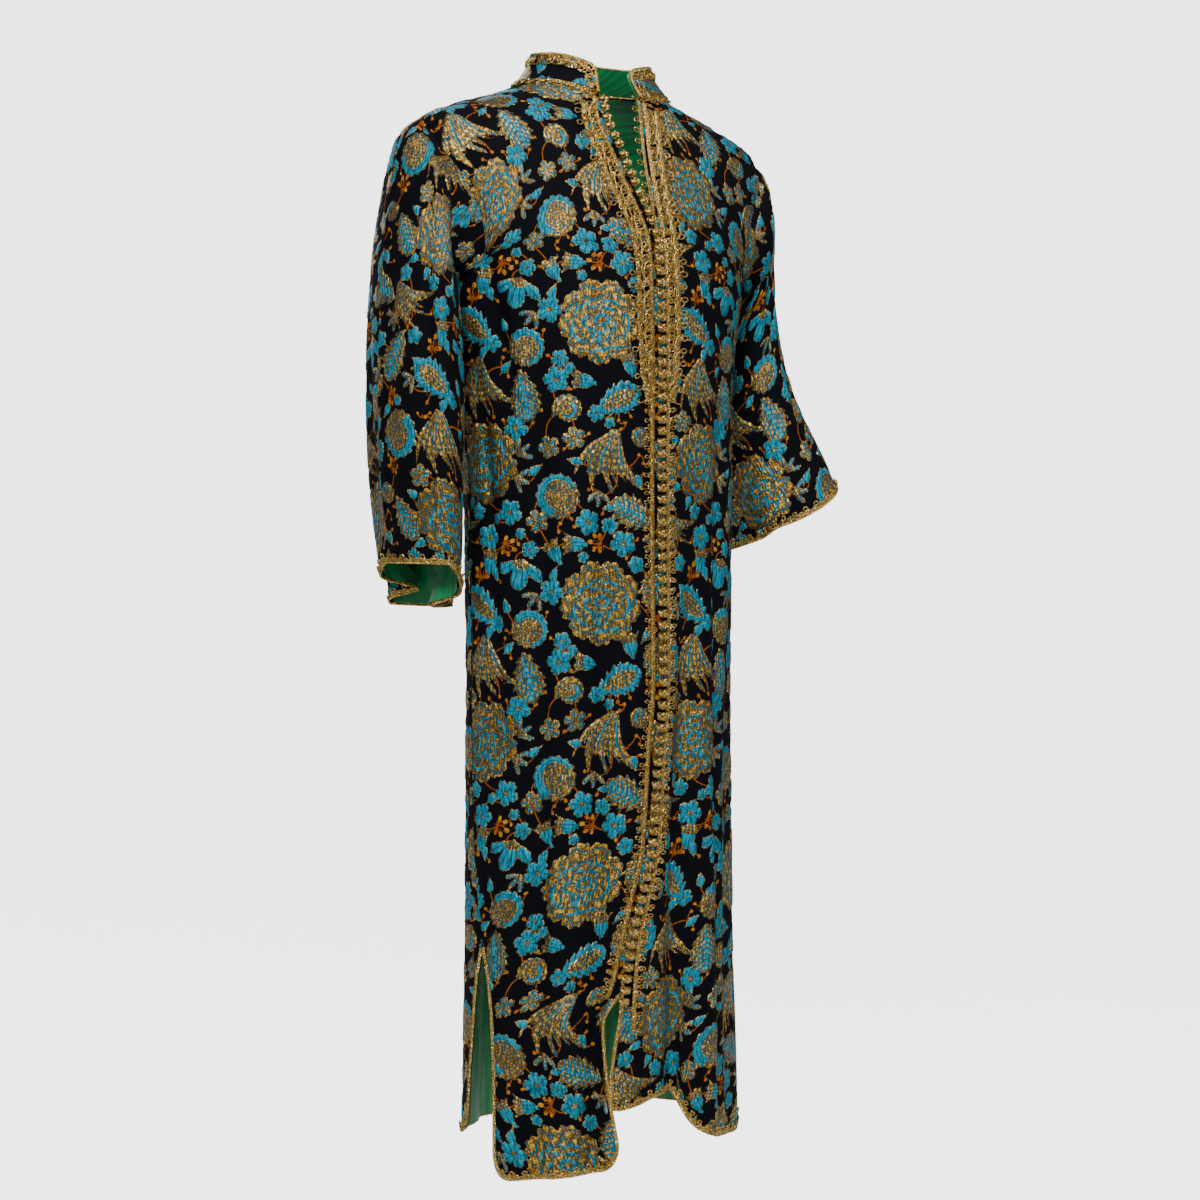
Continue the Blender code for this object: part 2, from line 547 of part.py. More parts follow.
# The open neck edges: knots on the wearer's right, cord loops on the left.
open_rows = slice(COLLAR_END_ROW, NECK_CLOSED_ROW + 1)
for side, name, radius, pitch in ((-1, "neck_buttons", 0.0045, 0.012), (1, "neck_loops", 0.0030, 0.012)):
    points, normals = fronts[side]
    edge = points[open_rows, 0] * 0.5 + points[open_rows, 1] * 0.5
    fine = resample(np.concatenate([edge, normals[open_rows, 0]], axis=1), 0.004)[3:-3]
    button_row(name, fine[:, :3], fine[:, 3:], radius, pitch)
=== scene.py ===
"""Looks for the Moroccan kaftan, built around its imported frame: brocade, lining, braid and knot buttons.

Metres, +Z up, front toward -Y, wearer's left toward +X. Each cloth piece is drawn on the garment's own
form: a body of horizontal sections with hanging folds, and two sleeves of rings below the armholes.
"""

import bmesh
import bpy
import numpy as np
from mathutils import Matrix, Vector


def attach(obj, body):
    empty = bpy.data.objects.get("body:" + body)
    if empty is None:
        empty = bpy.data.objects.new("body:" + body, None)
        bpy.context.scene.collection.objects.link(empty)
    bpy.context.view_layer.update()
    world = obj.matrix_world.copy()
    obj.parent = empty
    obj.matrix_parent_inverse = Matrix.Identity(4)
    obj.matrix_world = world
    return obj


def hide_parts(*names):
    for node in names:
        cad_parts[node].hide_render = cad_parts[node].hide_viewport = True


bl_info = {
    "name": "Moroccan Kaftan",
    "version": (1, 0, 0),
    "blender": (4, 5, 0),
    "location": "3D View > Sidebar > Kaftan",
    "description": "Builds the cloth, braid and buttons of a long brocade kaftan",
    "category": "Add Mesh",
}

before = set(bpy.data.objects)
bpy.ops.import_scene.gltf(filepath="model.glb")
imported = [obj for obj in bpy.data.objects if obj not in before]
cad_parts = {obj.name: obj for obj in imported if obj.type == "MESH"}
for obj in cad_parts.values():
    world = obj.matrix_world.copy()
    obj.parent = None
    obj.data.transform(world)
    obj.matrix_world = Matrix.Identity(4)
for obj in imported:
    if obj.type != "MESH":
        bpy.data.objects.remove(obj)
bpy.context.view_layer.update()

# Horizontal sections of the outer face: half width, front and back reach, and where the side line lies.
SECTIONS = {
    "z": (
        -1.310, -1.150, -1.000, -0.800, -0.600, -0.450, -0.300, -0.220, -0.150, -0.090, -0.055, -0.035,
        -0.015, 0.000, 0.012, 0.030
    ),
    "half_width": (
        0.178, 0.175, 0.172, 0.170, 0.170, 0.173, 0.186, 0.202, 0.221, 0.232, 0.218, 0.172, 0.116, 0.086,
        0.068, 0.060
    ),
    "front": (
        0.160, 0.158, 0.156, 0.154, 0.152, 0.150, 0.149, 0.144, 0.128, 0.107, 0.094, 0.086, 0.079, 0.075,
        0.073, 0.072
    ),
    "back": (
        0.098, 0.095, 0.093, 0.092, 0.090, 0.092, 0.100, 0.106, 0.108, 0.105, 0.099, 0.092, 0.086, 0.080,
        0.074, 0.072
    ),
    "middle_x": (
        0.004, 0.004, 0.004, 0.004, 0.004, 0.003, 0.000, 0.000, 0.000, 0.000, 0.000, 0.000, 0.000, 0.000,
        0.000, 0.000
    ),
    "side_y": (
        -0.018, -0.017, -0.016, -0.015, -0.015, -0.014, -0.012, -0.009, -0.006, -0.003, -0.001, 0.000,
        0.002, 0.003, 0.004, 0.004
    ),
}

# Hanging folds: angle from centre front at the waist and at the hem, where each begins, spread and depth.
FOLDS = {
    "waist_angle": (25, -25, -52, 58, 132, 166, 198, 232, 40, -72),
    "hem_angle": (12, -30, -56, 50, 126, 160, 204, 238, 30, -62),
    "start_z": (-0.42, -0.45, -0.60, -0.50, -0.40, -0.35, -0.40, -0.45, -0.75, -0.75),
    "spread": (7.5, 8.0, 8.0, 9.0, 11.0, 9.0, 10.0, 10.0, 7.0, 7.0),
    "depth": (0.026, 0.009, 0.007, 0.010, 0.015, 0.017, 0.015, 0.014, -0.006, -0.005),
}
FOLD_RAMP = 0.30
# Creases: angle at the top and foot, the heights between which each runs, spread and depth.
CREASES = {
    "top": (-22, -47, -66, 40, 62, -33, -78, 150, 178, 208, 120, -12),
    "foot": (-27, -50, -60, 34, 60, -28, -70, 146, 182, 214, 116, -16),
    "high": (-0.42, -0.30, -0.10, -0.30, -0.12, -0.02, -0.30, -0.20, -0.20, -0.20, -0.20, -0.02),
    "low": (-1.36, -1.36, -0.42, -1.36, -0.45, -0.26, -0.80, -1.36, -1.36, -1.36, -1.36, -0.22),
    "spread": (4.6, 4.2, 5.5, 4.6, 5.0, 4.5, 4.2, 5.0, 5.0, 5.0, 5.0, 4.0),
    "depth": (
        0.0095, 0.0060, 0.0070, 0.0075, 0.0055, 0.0032, 0.0055, 0.0060, 0.0060, 0.0060, 0.0060, 0.0028
    ),
}
SHOULDER_TILT = 0.040

# Cutting lines row by row, shoulder seam to hem, as angles from centre front and heights.
ROWS = {
    "right_inner": (
        90, 53, 26, 14.0, 6.5, 2.4, -2.9, -3.0, -2.7, -1.9, -1.5, -1.6, 1.0, 3.4, 8.3, 12.4, 16.2, 23.2,
        20.9, 17.4
    ),
    "left_inner": (
        90, 53, 22, 9.8, 3.4, 2.5, 2.9, 3.0, 2.7, 1.9, 1.5, 1.6, -1.0, -3.4, -8.3, -12.4, -14.6, -15.3,
        -16.3, -16.0
    ),
    "inner_z": (0.0, -0.004, -0.012, -0.019, -0.070, -0.130, -0.203, -0.290, -0.370, -0.460, -0.580,
                -0.700, -0.800, -0.895, -0.960, -1.010, -1.062, -1.105, -1.185, -1.269),
    "front_outer": (90, 79, 68, 61, 60, 67, 90, 90, 90, 90, 90, 90, 89, 87, 84, 80, 74.5, 71.5, 70, 69.5),
    "outer_z": (-0.048, -0.072, -0.105, -0.145, -0.187, -0.225, -0.252, -0.320, -0.390, -0.470, -0.580,
                -0.700, -0.800, -0.895, -0.955, -1.005, -1.060, -1.120, -1.195, -1.283),
    "back_inner": (
        90, 128, 160, 180, 180, 180, 180, 180, 180, 180, 180, 180, 180, 180, 180, 180, 180, 180, 180, 180
    ),
    "back_inner_z": (0.0, 0.006, 0.010, 0.012, -0.060, -0.130, -0.200, -0.290, -0.370, -0.460, -0.580,
                     -0.700, -0.800, -0.895, -0.955, -1.005, -1.060, -1.120, -1.180, -1.238),
    "back_outer": (90, 101, 112, 119, 120, 113, 90, 90, 90, 90, 90, 90, 89, 87, 84, 80, 84.5, 87, 90, 90.5),
}
BACK_HEM_Z = -1.240
LEFT_HEM = {
    "angle": (-17, -13, -8, -2, 9.5, 13, 15, 17, 20, 24, 29.5, 55, 69, 90),
    "z": (
        -1.204, -1.199, -1.196, -1.186, -1.184, -1.184, -1.188, -1.215, -1.232, -1.240, -1.246, -1.255,
        -1.256, -1.252
    ),
}
ROW_COUNT = 20
COLLAR_END_ROW = 3
ARMPIT_ROW = 6
CHEST_BRAID_END_ROW = 8
LEVEL_ROW = 10
SIDE_SLIT_ROW = 15
FRONT_SLIT_ROW = 16
HEM_CORNER = 0.022

# Sleeves ring by ring below the armhole, for the wearer's right and left.
RIGHT_SLEEVE = {
    "outer_x": (0.252, 0.264, 0.273, 0.278, 0.281, 0.281, 0.278, 0.272, 0.266),
    "outer_z": (-0.072, -0.125, -0.190, -0.260, -0.335, -0.410, -0.480, -0.545, -0.592),
    "inner_x": (0.2065, 0.2010, 0.1960, 0.1925, 0.1905, 0.1900, 0.1905, 0.1910, 0.1915),
    "inner_z": (-0.258, -0.276, -0.306, -0.350, -0.402, -0.458, -0.515, -0.562, -0.596),
    "centre_y": (-0.010, -0.007, -0.005, -0.004, -0.004, -0.004, -0.004, -0.004, -0.004),
    "half_y": (0.068, 0.077, 0.084, 0.088, 0.089, 0.087, 0.083, 0.078, 0.074),
    "lift": (0.000, 0.000, 0.000, 0.000, 0.002, 0.006, 0.012, 0.018, 0.024),
    "lift_angle": (50.0,) * 9,
    "pinch": (0.0, 0.0, 0.0, 0.0, 0.0, 0.05, 0.25, 0.60, 1.0),
}
LEFT_SLEEVE = {
    "outer_x": (0.235, 0.243, 0.248, 0.254, 0.264, 0.279, 0.296, 0.309, 0.318),
    "outer_z": (-0.084, -0.128, -0.185, -0.245, -0.305, -0.360, -0.410, -0.450, -0.482),
    "inner_x": (0.2085, 0.2030, 0.1985, 0.1955, 0.1945, 0.1965, 0.2010, 0.2060, 0.2100),
    "inner_z": (-0.258, -0.274, -0.300, -0.338, -0.385, -0.435, -0.485, -0.520, -0.546),
    "centre_y": (0.000, 0.008, 0.014, 0.016, 0.012, 0.002, -0.012, -0.024, -0.032),
    "half_y": (0.067, 0.074, 0.079, 0.081, 0.082, 0.082, 0.082, 0.082, 0.082),
    "lift": (0.000, 0.000, 0.000, 0.000, 0.000, 0.002, 0.006, 0.010, 0.013),
    "lift_angle": (0.0,) * 9,
    "pinch": (0.0, 0.0, 0.0, 0.0, 0.0, 0.0, 0.05, 0.12, 0.2),
}
# Deep pinches at the cuff: where, how wide, and how far toward the body and toward the front.
PINCHES = {
    "angle": (150.0, 285.0, 247.0), "spread": (11.5, 12.0, 13.0), "to_body": (0.036, -0.030, 0.020),
    "to_front": (0.027, 0.000, 0.000)
}
# Soft creases down each sleeve: angle round it at the top and cuff, the stretch, spread and depth.
SLEEVE_CREASES = {
    "top_angle": (38, 80, 120, 200, 250, 5, 345),
    "cuff_angle": (22, 75, 105, 190, 240, 330, 320),
    "starts": (0.10, 0.28, 0.45, 0.15, 0.30, 0.35, 0.05),
    "ends": (0.95, 0.90, 0.98, 0.90, 0.95, 0.85, 0.50),
    "spread": (9, 8, 9, 11, 10, 8, 9),
    "depth": (0.0050, 0.0030, 0.0040, 0.0050, 0.0040, 0.0032, 0.0050),
}
# Lengths that set how many columns a grid has, and the steps of the finer and coarser grids.
FRONT_WIDTH = 0.262
BACK_HALF_WIDTH = 0.236
SLEEVE_ROUND = 0.372
BACK_STEP_SHARE = 1.24
COLLAR_STEP = 0.0022
COLLAR_EDGE_STEP = 0.003
COLLAR_HEIGHT = 0.032
COLLAR_LEAN = 0.013
COLLAR_RISE = 0.0012

# The woven repeat in metres, then each large figure with its place, size and turn in millimetres and degrees.
REPEAT = (0.290, 0.325)
FIGURES = (
    # kind, x, y, size, turn, tone
    ("rose", 70, 262, 50, 0, 1.0),
    ("rose", 215, 100, 48, 40, 0.4),
    ("dahlia", 150, 196, 29, 0, 0.9),
    ("dahlia", 20, 60, 27, 200, 0.6),
    ("dahlia", 272, 232, 23, 90, 0.6),
    ("gold_leaf", 143, 286, 33, 60, 1.0),
    ("teal_leaf", 203, 258, 31, -38, 0.9),
    ("teal_leaf", 92, 172, 29, 205, 0.9),
    ("gold_leaf", 270, 176, 31, 100, 0.5),
    ("gold_leaf", 112, 40, 31, -28, 0.7),
    ("gold_leaf", 152, 100, 29, 118, 0.9),
    ("feather", 212, 187, 37, 4, 1.0),
    ("feather", 82, 100, 38, -12, 0.8),
    ("feather", 165, 22, 30, 40, 0.5),
    ("curl", 32, 160, 20, 30, 1.0),
    ("curl", 120, 130, 15, 200, 0.6),
    ("lily", 262, 296, 21, 168, 0.9),
)
# How much of its size each long figure takes up as a circle.
REACH = {"feather": 0.80, "gold_leaf": 0.66, "teal_leaf": 0.66, "lily": 0.86}
SMALL_KINDS = (
    # kind, radius in millimetres, how often, share of its radius it needs
    ("blossom", 15, 7, 0.86),
    ("gold_blossom", 14, 4, 0.86),
    ("bell", 13, 5, 0.80),
    ("sprig", 15, 5, 0.75),
    ("spray", 12, 6, 0.75),
    ("blossom", 10, 9, 0.86),
    ("drop", 8, 14, 0.80),
    ("blossom", 6.5, 6, 1.0),
    ("bud", 2.8, 44, 1.2),
)
FIGURE_SEED = 11
# Kept at each point of the cloth: distances inside each colour, and coordinates of the inner lines.
WOVEN = (
    ("teal", -0.02), ("gold", -0.02), ("rust", -0.02), ("stem", 0.01), ("near", -0.02), ("phase", 0.5),
    ("cross", 0.5), ("tone", 0.5)
)

# Trim sizes.
CHEST_BRAID_PLACES = (0.0290, 0.0285, 0.0280, 0.0270, 0.0240, 0.0170)


class KaftanSizes(bpy.types.PropertyGroup):
    """Sizes a maker would change."""

    brocade_step: bpy.props.FloatProperty(
        name="Brocade step", description="Spacing of the brocade's mesh", default=0.0024, min=0.0015,
        unit="LENGTH"
    )
    lining_step: bpy.props.FloatProperty(
        name="Lining step", description="Spacing of the lining's mesh", default=0.0075, min=0.003,
        unit="LENGTH"
    )
    lining_inset: bpy.props.FloatProperty(
        name="Lining inset", description="How far the lining lies inside the brocade", default=0.0036,
        unit="LENGTH"
    )
    cord_radius: bpy.props.FloatProperty(
        name="Loop cord radius", description="Half the thickness of the looped braid's cord",
        default=0.00108, unit="LENGTH"
    )
    loop_pitch: bpy.props.FloatProperty(
        name="Loop pitch", description="Length of one loop of the looped braid", default=0.0105,
        unit="LENGTH"
    )
    plait_width: bpy.props.FloatProperty(
        name="Plait half width", description="Half the width of the plaited edge braid", default=0.0016,
        unit="LENGTH"
    )
    plait_pitch: bpy.props.FloatProperty(
        name="Plait pitch", description="Length of one turn of the plait", default=0.0085, unit="LENGTH"
    )
    button_pitch: bpy.props.FloatProperty(
        name="Button pitch", description="Distance between knot buttons", default=0.0132, unit="LENGTH"
    )
    knot_radius: bpy.props.FloatProperty(
        name="Knot radius", description="Half the width of a knot button", default=0.0080, unit="LENGTH"
    )


class KaftanColours(bpy.types.PropertyGroup):
    """Colours of cloth and cord."""

    ground: bpy.props.FloatVectorProperty(
        name="Ground", description="Near-black ground of the brocade", subtype="COLOR", size=4,
        default=(0.0012, 0.0014, 0.0035, 1.0)
    )
    turquoise: bpy.props.FloatVectorProperty(
        name="Turquoise", description="Turquoise figure", subtype="COLOR", size=4,
        default=(0.0, 0.30, 0.43, 1.0)
    )
    gold: bpy.props.FloatVectorProperty(
        name="Gold", description="Bright gold thread", subtype="COLOR", size=4,
        default=(0.76, 0.41, 0.035, 1.0)
    )
    ochre: bpy.props.FloatVectorProperty(
        name="Ochre", description="Dull gold thread", subtype="COLOR", size=4,
        default=(0.12, 0.050, 0.007, 1.0)
    )
    rust: bpy.props.FloatVectorProperty(
        name="Rust", description="Rust-coloured stems", subtype="COLOR", size=4,
        default=(0.30, 0.075, 0.003, 1.0)
    )
    lining: bpy.props.FloatVectorProperty(
        name="Lining", description="Green satin lining", subtype="COLOR", size=4,
        default=(0.003, 0.26, 0.075, 1.0)
    )
    braid: bpy.props.FloatVectorProperty(
        name="Braid", description="Gold braid and buttons", subtype="COLOR", size=4,
        default=(0.78, 0.47, 0.095, 1.0)
    )


def smooth(xs, ys, x):
    """Reads a table with a smooth curve through its entries."""
    xs = np.asarray(xs, float)
    ys = np.asarray(ys, float)
    return hermite(xs, ys, np.gradient(ys, xs, axis=0), x)


def steady(ys, x):
    """Reads a table by row number with a curve that never passes beyond its entries."""
    ys = np.asarray(ys, float)
    steps = np.diff(ys)
    slopes = np.zeros(len(ys))
    product = steps[:-1] * steps[1:]
    both = np.where(product > 0, steps[:-1] + steps[1:], 1.0)
    slopes[1:-1] = np.where(product > 0, 2.0 * product / both, 0.0)
    slopes[0] = steps[0]
    slopes[-1] = steps[-1]
    return hermite(np.arange(len(ys), dtype=float), ys, slopes, x)


def hermite(xs, ys, slopes, x):
    x = np.clip(np.asarray(x, float), xs[0], xs[-1])
    i = np.clip(np.searchsorted(xs, x) - 1, 0, len(xs) - 2)
    h = xs[i + 1] - xs[i]
    t = (x - xs[i]) / h
    while t.ndim < ys[i].ndim:
        t = t[..., None]
        h = h[..., None]
    start = ys[i] * (1 + 2 * t) * (1 - t) ** 2 + slopes[i] * h * t * (1 - t) ** 2
    end = ys[i + 1] * t**2 * (3 - 2 * t) - slopes[i + 1] * h * t**2 * (1 - t)
    return start + end


def unit(vectors):
    return vectors / np.maximum(np.linalg.norm(vectors, axis=-1, keepdims=True), 1e-12)


def soft_noise(u, v, seed):
    """Smooth uneven values from -1 to 1 over the plane, one lump to a unit."""
    table = np.random.default_rng(seed).uniform(-1.0, 1.0, (64, 64))
    iu = np.floor(u).astype(int)
    iv = np.floor(v).astype(int)
    fu = u - iu
    fv = v - iv
    fu = fu * fu * (3 - 2 * fu)
    fv = fv * fv * (3 - 2 * fv)
    a = table[iu % 64, iv % 64]
    b = table[(iu + 1) % 64, iv % 64]
    c = table[iu % 64, (iv + 1) % 64]
    d = table[(iu + 1) % 64, (iv + 1) % 64]
    return (a * (1 - fu) + b * fu) * (1 - fv) + (c * (1 - fu) + d * fu) * fv


# ---- the garment's form ----


def fold_depth(angle, z):
    """How far the cloth sinks toward the middle at this angle and height."""
    sunk = np.zeros_like(angle)
    for waist, hem, start, spread, depth in zip(*FOLDS.values()):
        down = np.clip((start - z) / FOLD_RAMP, 0.0, 1.0)
        grown = down * down * (3 - 2 * down) * np.clip(0.55 - 0.45 * (z + 0.6) / 0.6, 0.5, 1.0)
        run = np.clip((-0.50 - z) / 0.65, 0.0, 1.0)
        centre = waist + (hem - waist) * (1 - (1 - run) ** 2)
        away = (angle - centre + 180.0) % 360.0 - 180.0
        sunk = sunk + depth * grown * np.exp(-((away / spread) ** 2))
    return sunk


def crease_depth(angle, z):
    """Softer creases than the form's own folds, down the front and back."""
    sunk = np.zeros_like(np.asarray(angle, float) + z)
    for top, foot, high, low, spread, depth in zip(*CREASES.values()):
        run = np.clip((high - z) / (high - low), 0.0, 1.0)
        within = np.clip((high - z) / 0.12, 0.0, 1.0) * np.clip((z - low) / 0.10, 0.0, 1.0)
        away = angle - (top + (foot - top) * run)
        sunk = sunk + depth * within * np.exp(-((away / spread) ** 2))
    return sunk


def body(angle, z):
    """Points of the outer face; the angle is in degrees from centre front toward the wearer's left."""
    angle = np.asarray(angle, float)
    z = np.asarray(z, float)
    half_width = smooth(SECTIONS["z"], SECTIONS["half_width"], z)
    side_y = smooth(SECTIONS["z"], SECTIONS["side_y"], z)
    front = smooth(SECTIONS["z"], SECTIONS["front"], z) + side_y
    back = smooth(SECTIONS["z"], SECTIONS["back"], z) - side_y
    turn = np.radians(angle)
    sunk = fold_depth(angle, z) + crease_depth(
        (angle + 180.0) % 360.0 - 180.0, z
    ) + crease_depth(angle % 360.0, z) * (np.abs(angle) > 90.0)
    kept = 1.0 - sunk / np.hypot(half_width * np.sin(turn), front * np.cos(turn))
    x = half_width * np.sin(turn) * kept
    y = side_y - np.where(np.cos(turn) > 0, front, back) * np.cos(turn) * kept
    near_shoulder = np.clip((z + 0.30) / 0.25, 0.0, 1.0)
    tilted = z - SHOULDER_TILT * x * near_shoulder
    x = x + smooth(SECTIONS["z"], SECTIONS["middle_x"], z)
    return np.stack([x, y, tilted], axis=-1)


def body_normal(angle, z):
    across = body(angle + 0.4, z) - body(angle - 0.4, z)
    up = body(angle, z + 0.0015) - body(angle, z - 0.0015)
    return unit(np.cross(across, up))


def corner_rise(distance):
    """How far a rounded hem corner rises this near to the slit."""
    near = np.clip(1.0 - distance / HEM_CORNER, 0.0, 1.0)
    return HEM_CORNER * (1.0 - np.sqrt(1.0 - near**2))


def line_across(inner, outer, inner_z, outer_z, shares):
    """Angles and heights at even cloth distances along one row of a panel."""
    fine = np.linspace(0.0, 1.0, 80)
    angles = inner + (outer - inner) * fine
    heights = inner_z + (outer_z - inner_z) * fine
    run = np.concatenate([[0.0], np.cumsum(np.linalg.norm(np.diff(body(angles, heights), axis=0), axis=1))])
    place = np.interp(shares * run[-1], run, fine)
    return inner + (outer - inner) * place, inner_z + (outer_z - inner_z) * place, run[-1]


def panel_grid(panel, side, rows, shares):
    """Angles, heights and widths of a panel's grid; rows are places in the cutting table."""
    if panel == "front":
        inner = steady(ROWS["right_inner" if side < 0 else "left_inner"], rows)
        inner = np.where(rows < 0.001, 90.0, inner) * side
        inner_z = steady(ROWS["inner_z"], rows)
        outer = steady(ROWS["front_outer"], rows) * side
        outer_z = steady(ROWS["outer_z"], rows)
    else:
        inner = steady(ROWS["back_inner"], rows) * side
        inner_z = steady(ROWS["back_inner_z"], rows)
        outer = steady(ROWS["back_outer"], rows) * side
        hem = list(ROWS["outer_z"][:-1]) + [BACK_HEM_Z]
        outer_z = steady(hem, rows)
    angles = np.zeros((len(rows), len(shares)))
    heights = np.zeros_like(angles)
    widths = np.zeros(len(rows))
    for k in range(len(rows)):
        angles[k], heights[k], widths[k] = line_across(inner[k], outer[k], inner_z[k], outer_z[k], shares)
    low = np.clip((rows - SIDE_SLIT_ROW) / (ROW_COUNT - 1 - SIDE_SLIT_ROW), 0.0, 1.0)[:, None]
    if panel == "front" and side > 0:
        drop = np.interp(angles[-1], LEFT_HEM["angle"], LEFT_HEM["z"]) - heights[-1]
        heights = heights + drop * low
    inner_corner = corner_rise(shares * widths[-1]) if panel == "front" and side < 0 else 0.0 * shares
    rise = inner_corner + corner_rise((1.0 - shares) * widths[-1])
    heights = heights + rise * np.clip((low - 0.75) / 0.25, 0.0, 1.0)
    return angles, heights, widths


def even_rows(panel, side, first, last, step):
    """Places in the cutting table that are an even cloth distance apart."""
    fine = np.linspace(first, last, 300)
    angles, heights, _ = panel_grid(panel, side, fine, np.array([0.02, 0.5, 0.98]))
    points = body(angles, heights)
    run = np.linalg.norm(np.diff(points, axis=0), axis=-1).max(axis=1)
    run = np.concatenate([[0.0], np.cumsum(run)])
    count = int(round(run[-1] / step))
    return np.interp(np.linspace(0.0, run[-1], count + 1), run, fine)


def sleeve_grid(side, table, rings, around):
    """Points of one sleeve; rings run from 0 at the armhole to 9 at the cuff."""
    turn = np.radians(around)
    place = (90.0 - around) / 30.0
    front = steady(ROWS["front_outer"], np.clip(place, 0, ARMPIT_ROW))
    back = steady(ROWS["back_outer"], np.clip(12.0 - place, 0, ARMPIT_ROW))
    height = np.where(place <= ARMPIT_ROW, place, 12.0 - place)
    angles = np.where(place <= ARMPIT_ROW, front, back) * side
    controls = [body(angles, steady(ROWS["outer_z"], height))]
    for k in range(len(table["outer_x"])):
        row = {name: values[k] for name, values in table.items()}
        half_x = (row["outer_x"] - row["inner_x"]) / 2
        half_z = (row["outer_z"] - row["inner_z"]) / 2
        x = half_x * np.sin(turn) + (row["outer_x"] + row["inner_x"]) / 2
        y = -row["half_y"] * np.cos(turn) + row["centre_y"]
        for angle, spread, to_body, to_front in zip(*PINCHES.values()):
            away = (around - angle + 180.0) % 360.0 - 180.0
            share = row["pinch"] * np.exp(-((away / spread) ** 2))
            x = x - to_body * share
            y = y - to_front * share
        lift = row["lift"] * np.clip(1.6 * np.cos(np.radians(around - row["lift_angle"])), -1.0, 1.0)
        z = (row["outer_z"] + row["inner_z"]) / 2 + half_z * np.sin(turn) + lift
        controls.append(np.stack([side * x, y, z], axis=-1))
    controls = np.array(controls)
    return smooth(np.arange(len(controls), dtype=float), controls, rings)


def grid_normals(points, outward):
    """Normals of a closed or open grid, turned to the outside."""
    along = np.gradient(points, axis=0)
    around = np.gradient(points, axis=1)
    normals = unit(np.cross(around, along))
    return normals * np.sign((normals * outward).sum())


# ---- the woven figures: signed distances of each colour, in shares of the figure's size ----


def lobes(angle, count, depth, sharp=1.0):
    return 1.0 - depth + depth * np.abs(np.cos(angle * count / 2.0)) ** sharp


def ring_line(distance, half_width):
    return half_width - np.abs(distance)


def draw_rose(x, y):
    r = np.hypot(x, y)
    a = np.arctan2(y, x)
    edge = lobes(a + 0.2, 9, 0.17, 0.5) + 0.025 * np.cos(27 * a) - r
    bowl = np.hypot(x * 0.96, (y + 0.08) * 1.10)
    cup = np.minimum(
        ring_line(bowl - 0.60 - 0.07 * np.abs(np.cos(3.5 * a)), 0.034), 0.10 * (np.cos(5 * a + 0.6) + 0.78)
    )
    heart = np.minimum(
        ring_line(
            np.hypot(x + 0.03, (y - 0.03) * 1.25) - 0.30 - 0.12 * np.abs(np.cos(2.5 * a + 1.0)), 0.036
        ),
        0.10 * (np.cos(3 * a + 2.0) + 0.80)
    )
    core = ring_line(np.hypot(x - 0.02, y - 0.05) - 0.14 - 0.04 * np.cos(2 * a), 0.036)
    stalk = 0.040 - np.hypot(x - 0.05 * np.sin(5 * y), np.clip(np.abs(y + 0.42) - 0.17, 0, None))
    wings = ring_line(
        np.abs(x) - 0.10 - 0.55 * (y + 0.52), 0.034
    ) + np.minimum(0, 0.12 - np.abs(y + 0.36)) * 2
    teal = np.maximum.reduce([cup, heart, core, stalk, wings])
    petals = 4.3 * r + 0.75 * np.abs(np.sin(3.5 * a + 2.6 * r))
    return np.minimum(teal, edge - 0.1), edge, None, petals, 9 * a / np.pi + 2.4 * r


def draw_dahlia(x, y):
    r = np.hypot(x, y)
    a = np.arctan2(y, x)
    edge = lobes(a, 15, 0.13, 0.6) - r
    crescent = np.minimum(np.minimum(edge - 0.03, r - 0.62 + 0.10 * (x + y)), 0.28 - 0.8 * y + 0.5 * x)
    return crescent, edge, None, 6.4 * r, 15 * a / (2 * np.pi) + 0.25


def leaf_outline(x, y, teeth):
    width = 0.56 * np.clip(1 - x * x, 0, None) ** 0.70 * (1.0 - 0.36 * x)
    saw = teeth * (((x * 3.1 + 0.55 * np.abs(y)) % 1.0) - 0.5)
    return np.minimum(width - saw * np.clip(width * 5, 0, 1) - np.abs(y), 1.0 - np.abs(x))


def draw_gold_leaf(x, y):
    edge = leaf_outline(x, y, 0.20)
    rib = ring_line(y - 0.03 * np.sin(3 * x), 0.045) + np.minimum(0, 0.80 - np.abs(x))
    fern = np.minimum(
        0.70 * leaf_outline(x * 1.1 + 0.12, y * 1.3, 0.0) - 0.02,
        0.09 * np.cos(2 * np.pi * 4.6 * (x + 0.75 * np.abs(y)))
    )
    return np.maximum(rib, np.minimum(fern, edge - 0.1)), edge, None, 4.6 * (x + 0.75 * np.abs(y)), 7.0 * y


def draw_teal_leaf(x, y):
    edge = leaf_outline(x, y, 0.20)
    heart = np.minimum(0.50 * leaf_outline(x * 1.25, y * 1.8, 0.24), edge - 0.12)
    veins = 4.6 * (x + 0.75 * np.abs(y)) + 0.5
    return np.minimum(edge, -heart * 1.5), np.minimum(edge, heart + 0.02), None, veins, 7.0 * y


def draw_feather(x, y):
    away = np.hypot(x, 1.15 - y)
    a = np.arctan2(x, 1.15 - y) + 0.16 * np.sin(1.8 * away)
    length = 1.80 + 0.26 * np.sin(17.0 * a) + 0.12 * np.sin(41.0 * a)
    edge = np.minimum(np.minimum(length - away, away - 0.16), (0.60 - np.abs(a)) * np.maximum(away, 0.3))
    split = 0.06 * (np.cos(23.0 * a) + 1.9 - 1.35 * np.clip(away - 0.7, 0, 1))
    edge = np.minimum(edge, split)
    teal = np.minimum(edge - 0.01, 0.055 * (np.cos(11.5 * a + 1.0) - 0.55 - 0.3 * away))
    return teal, edge, None, 23.0 * a / (2 * np.pi) * 2.0 + 0.5, 5.0 * away


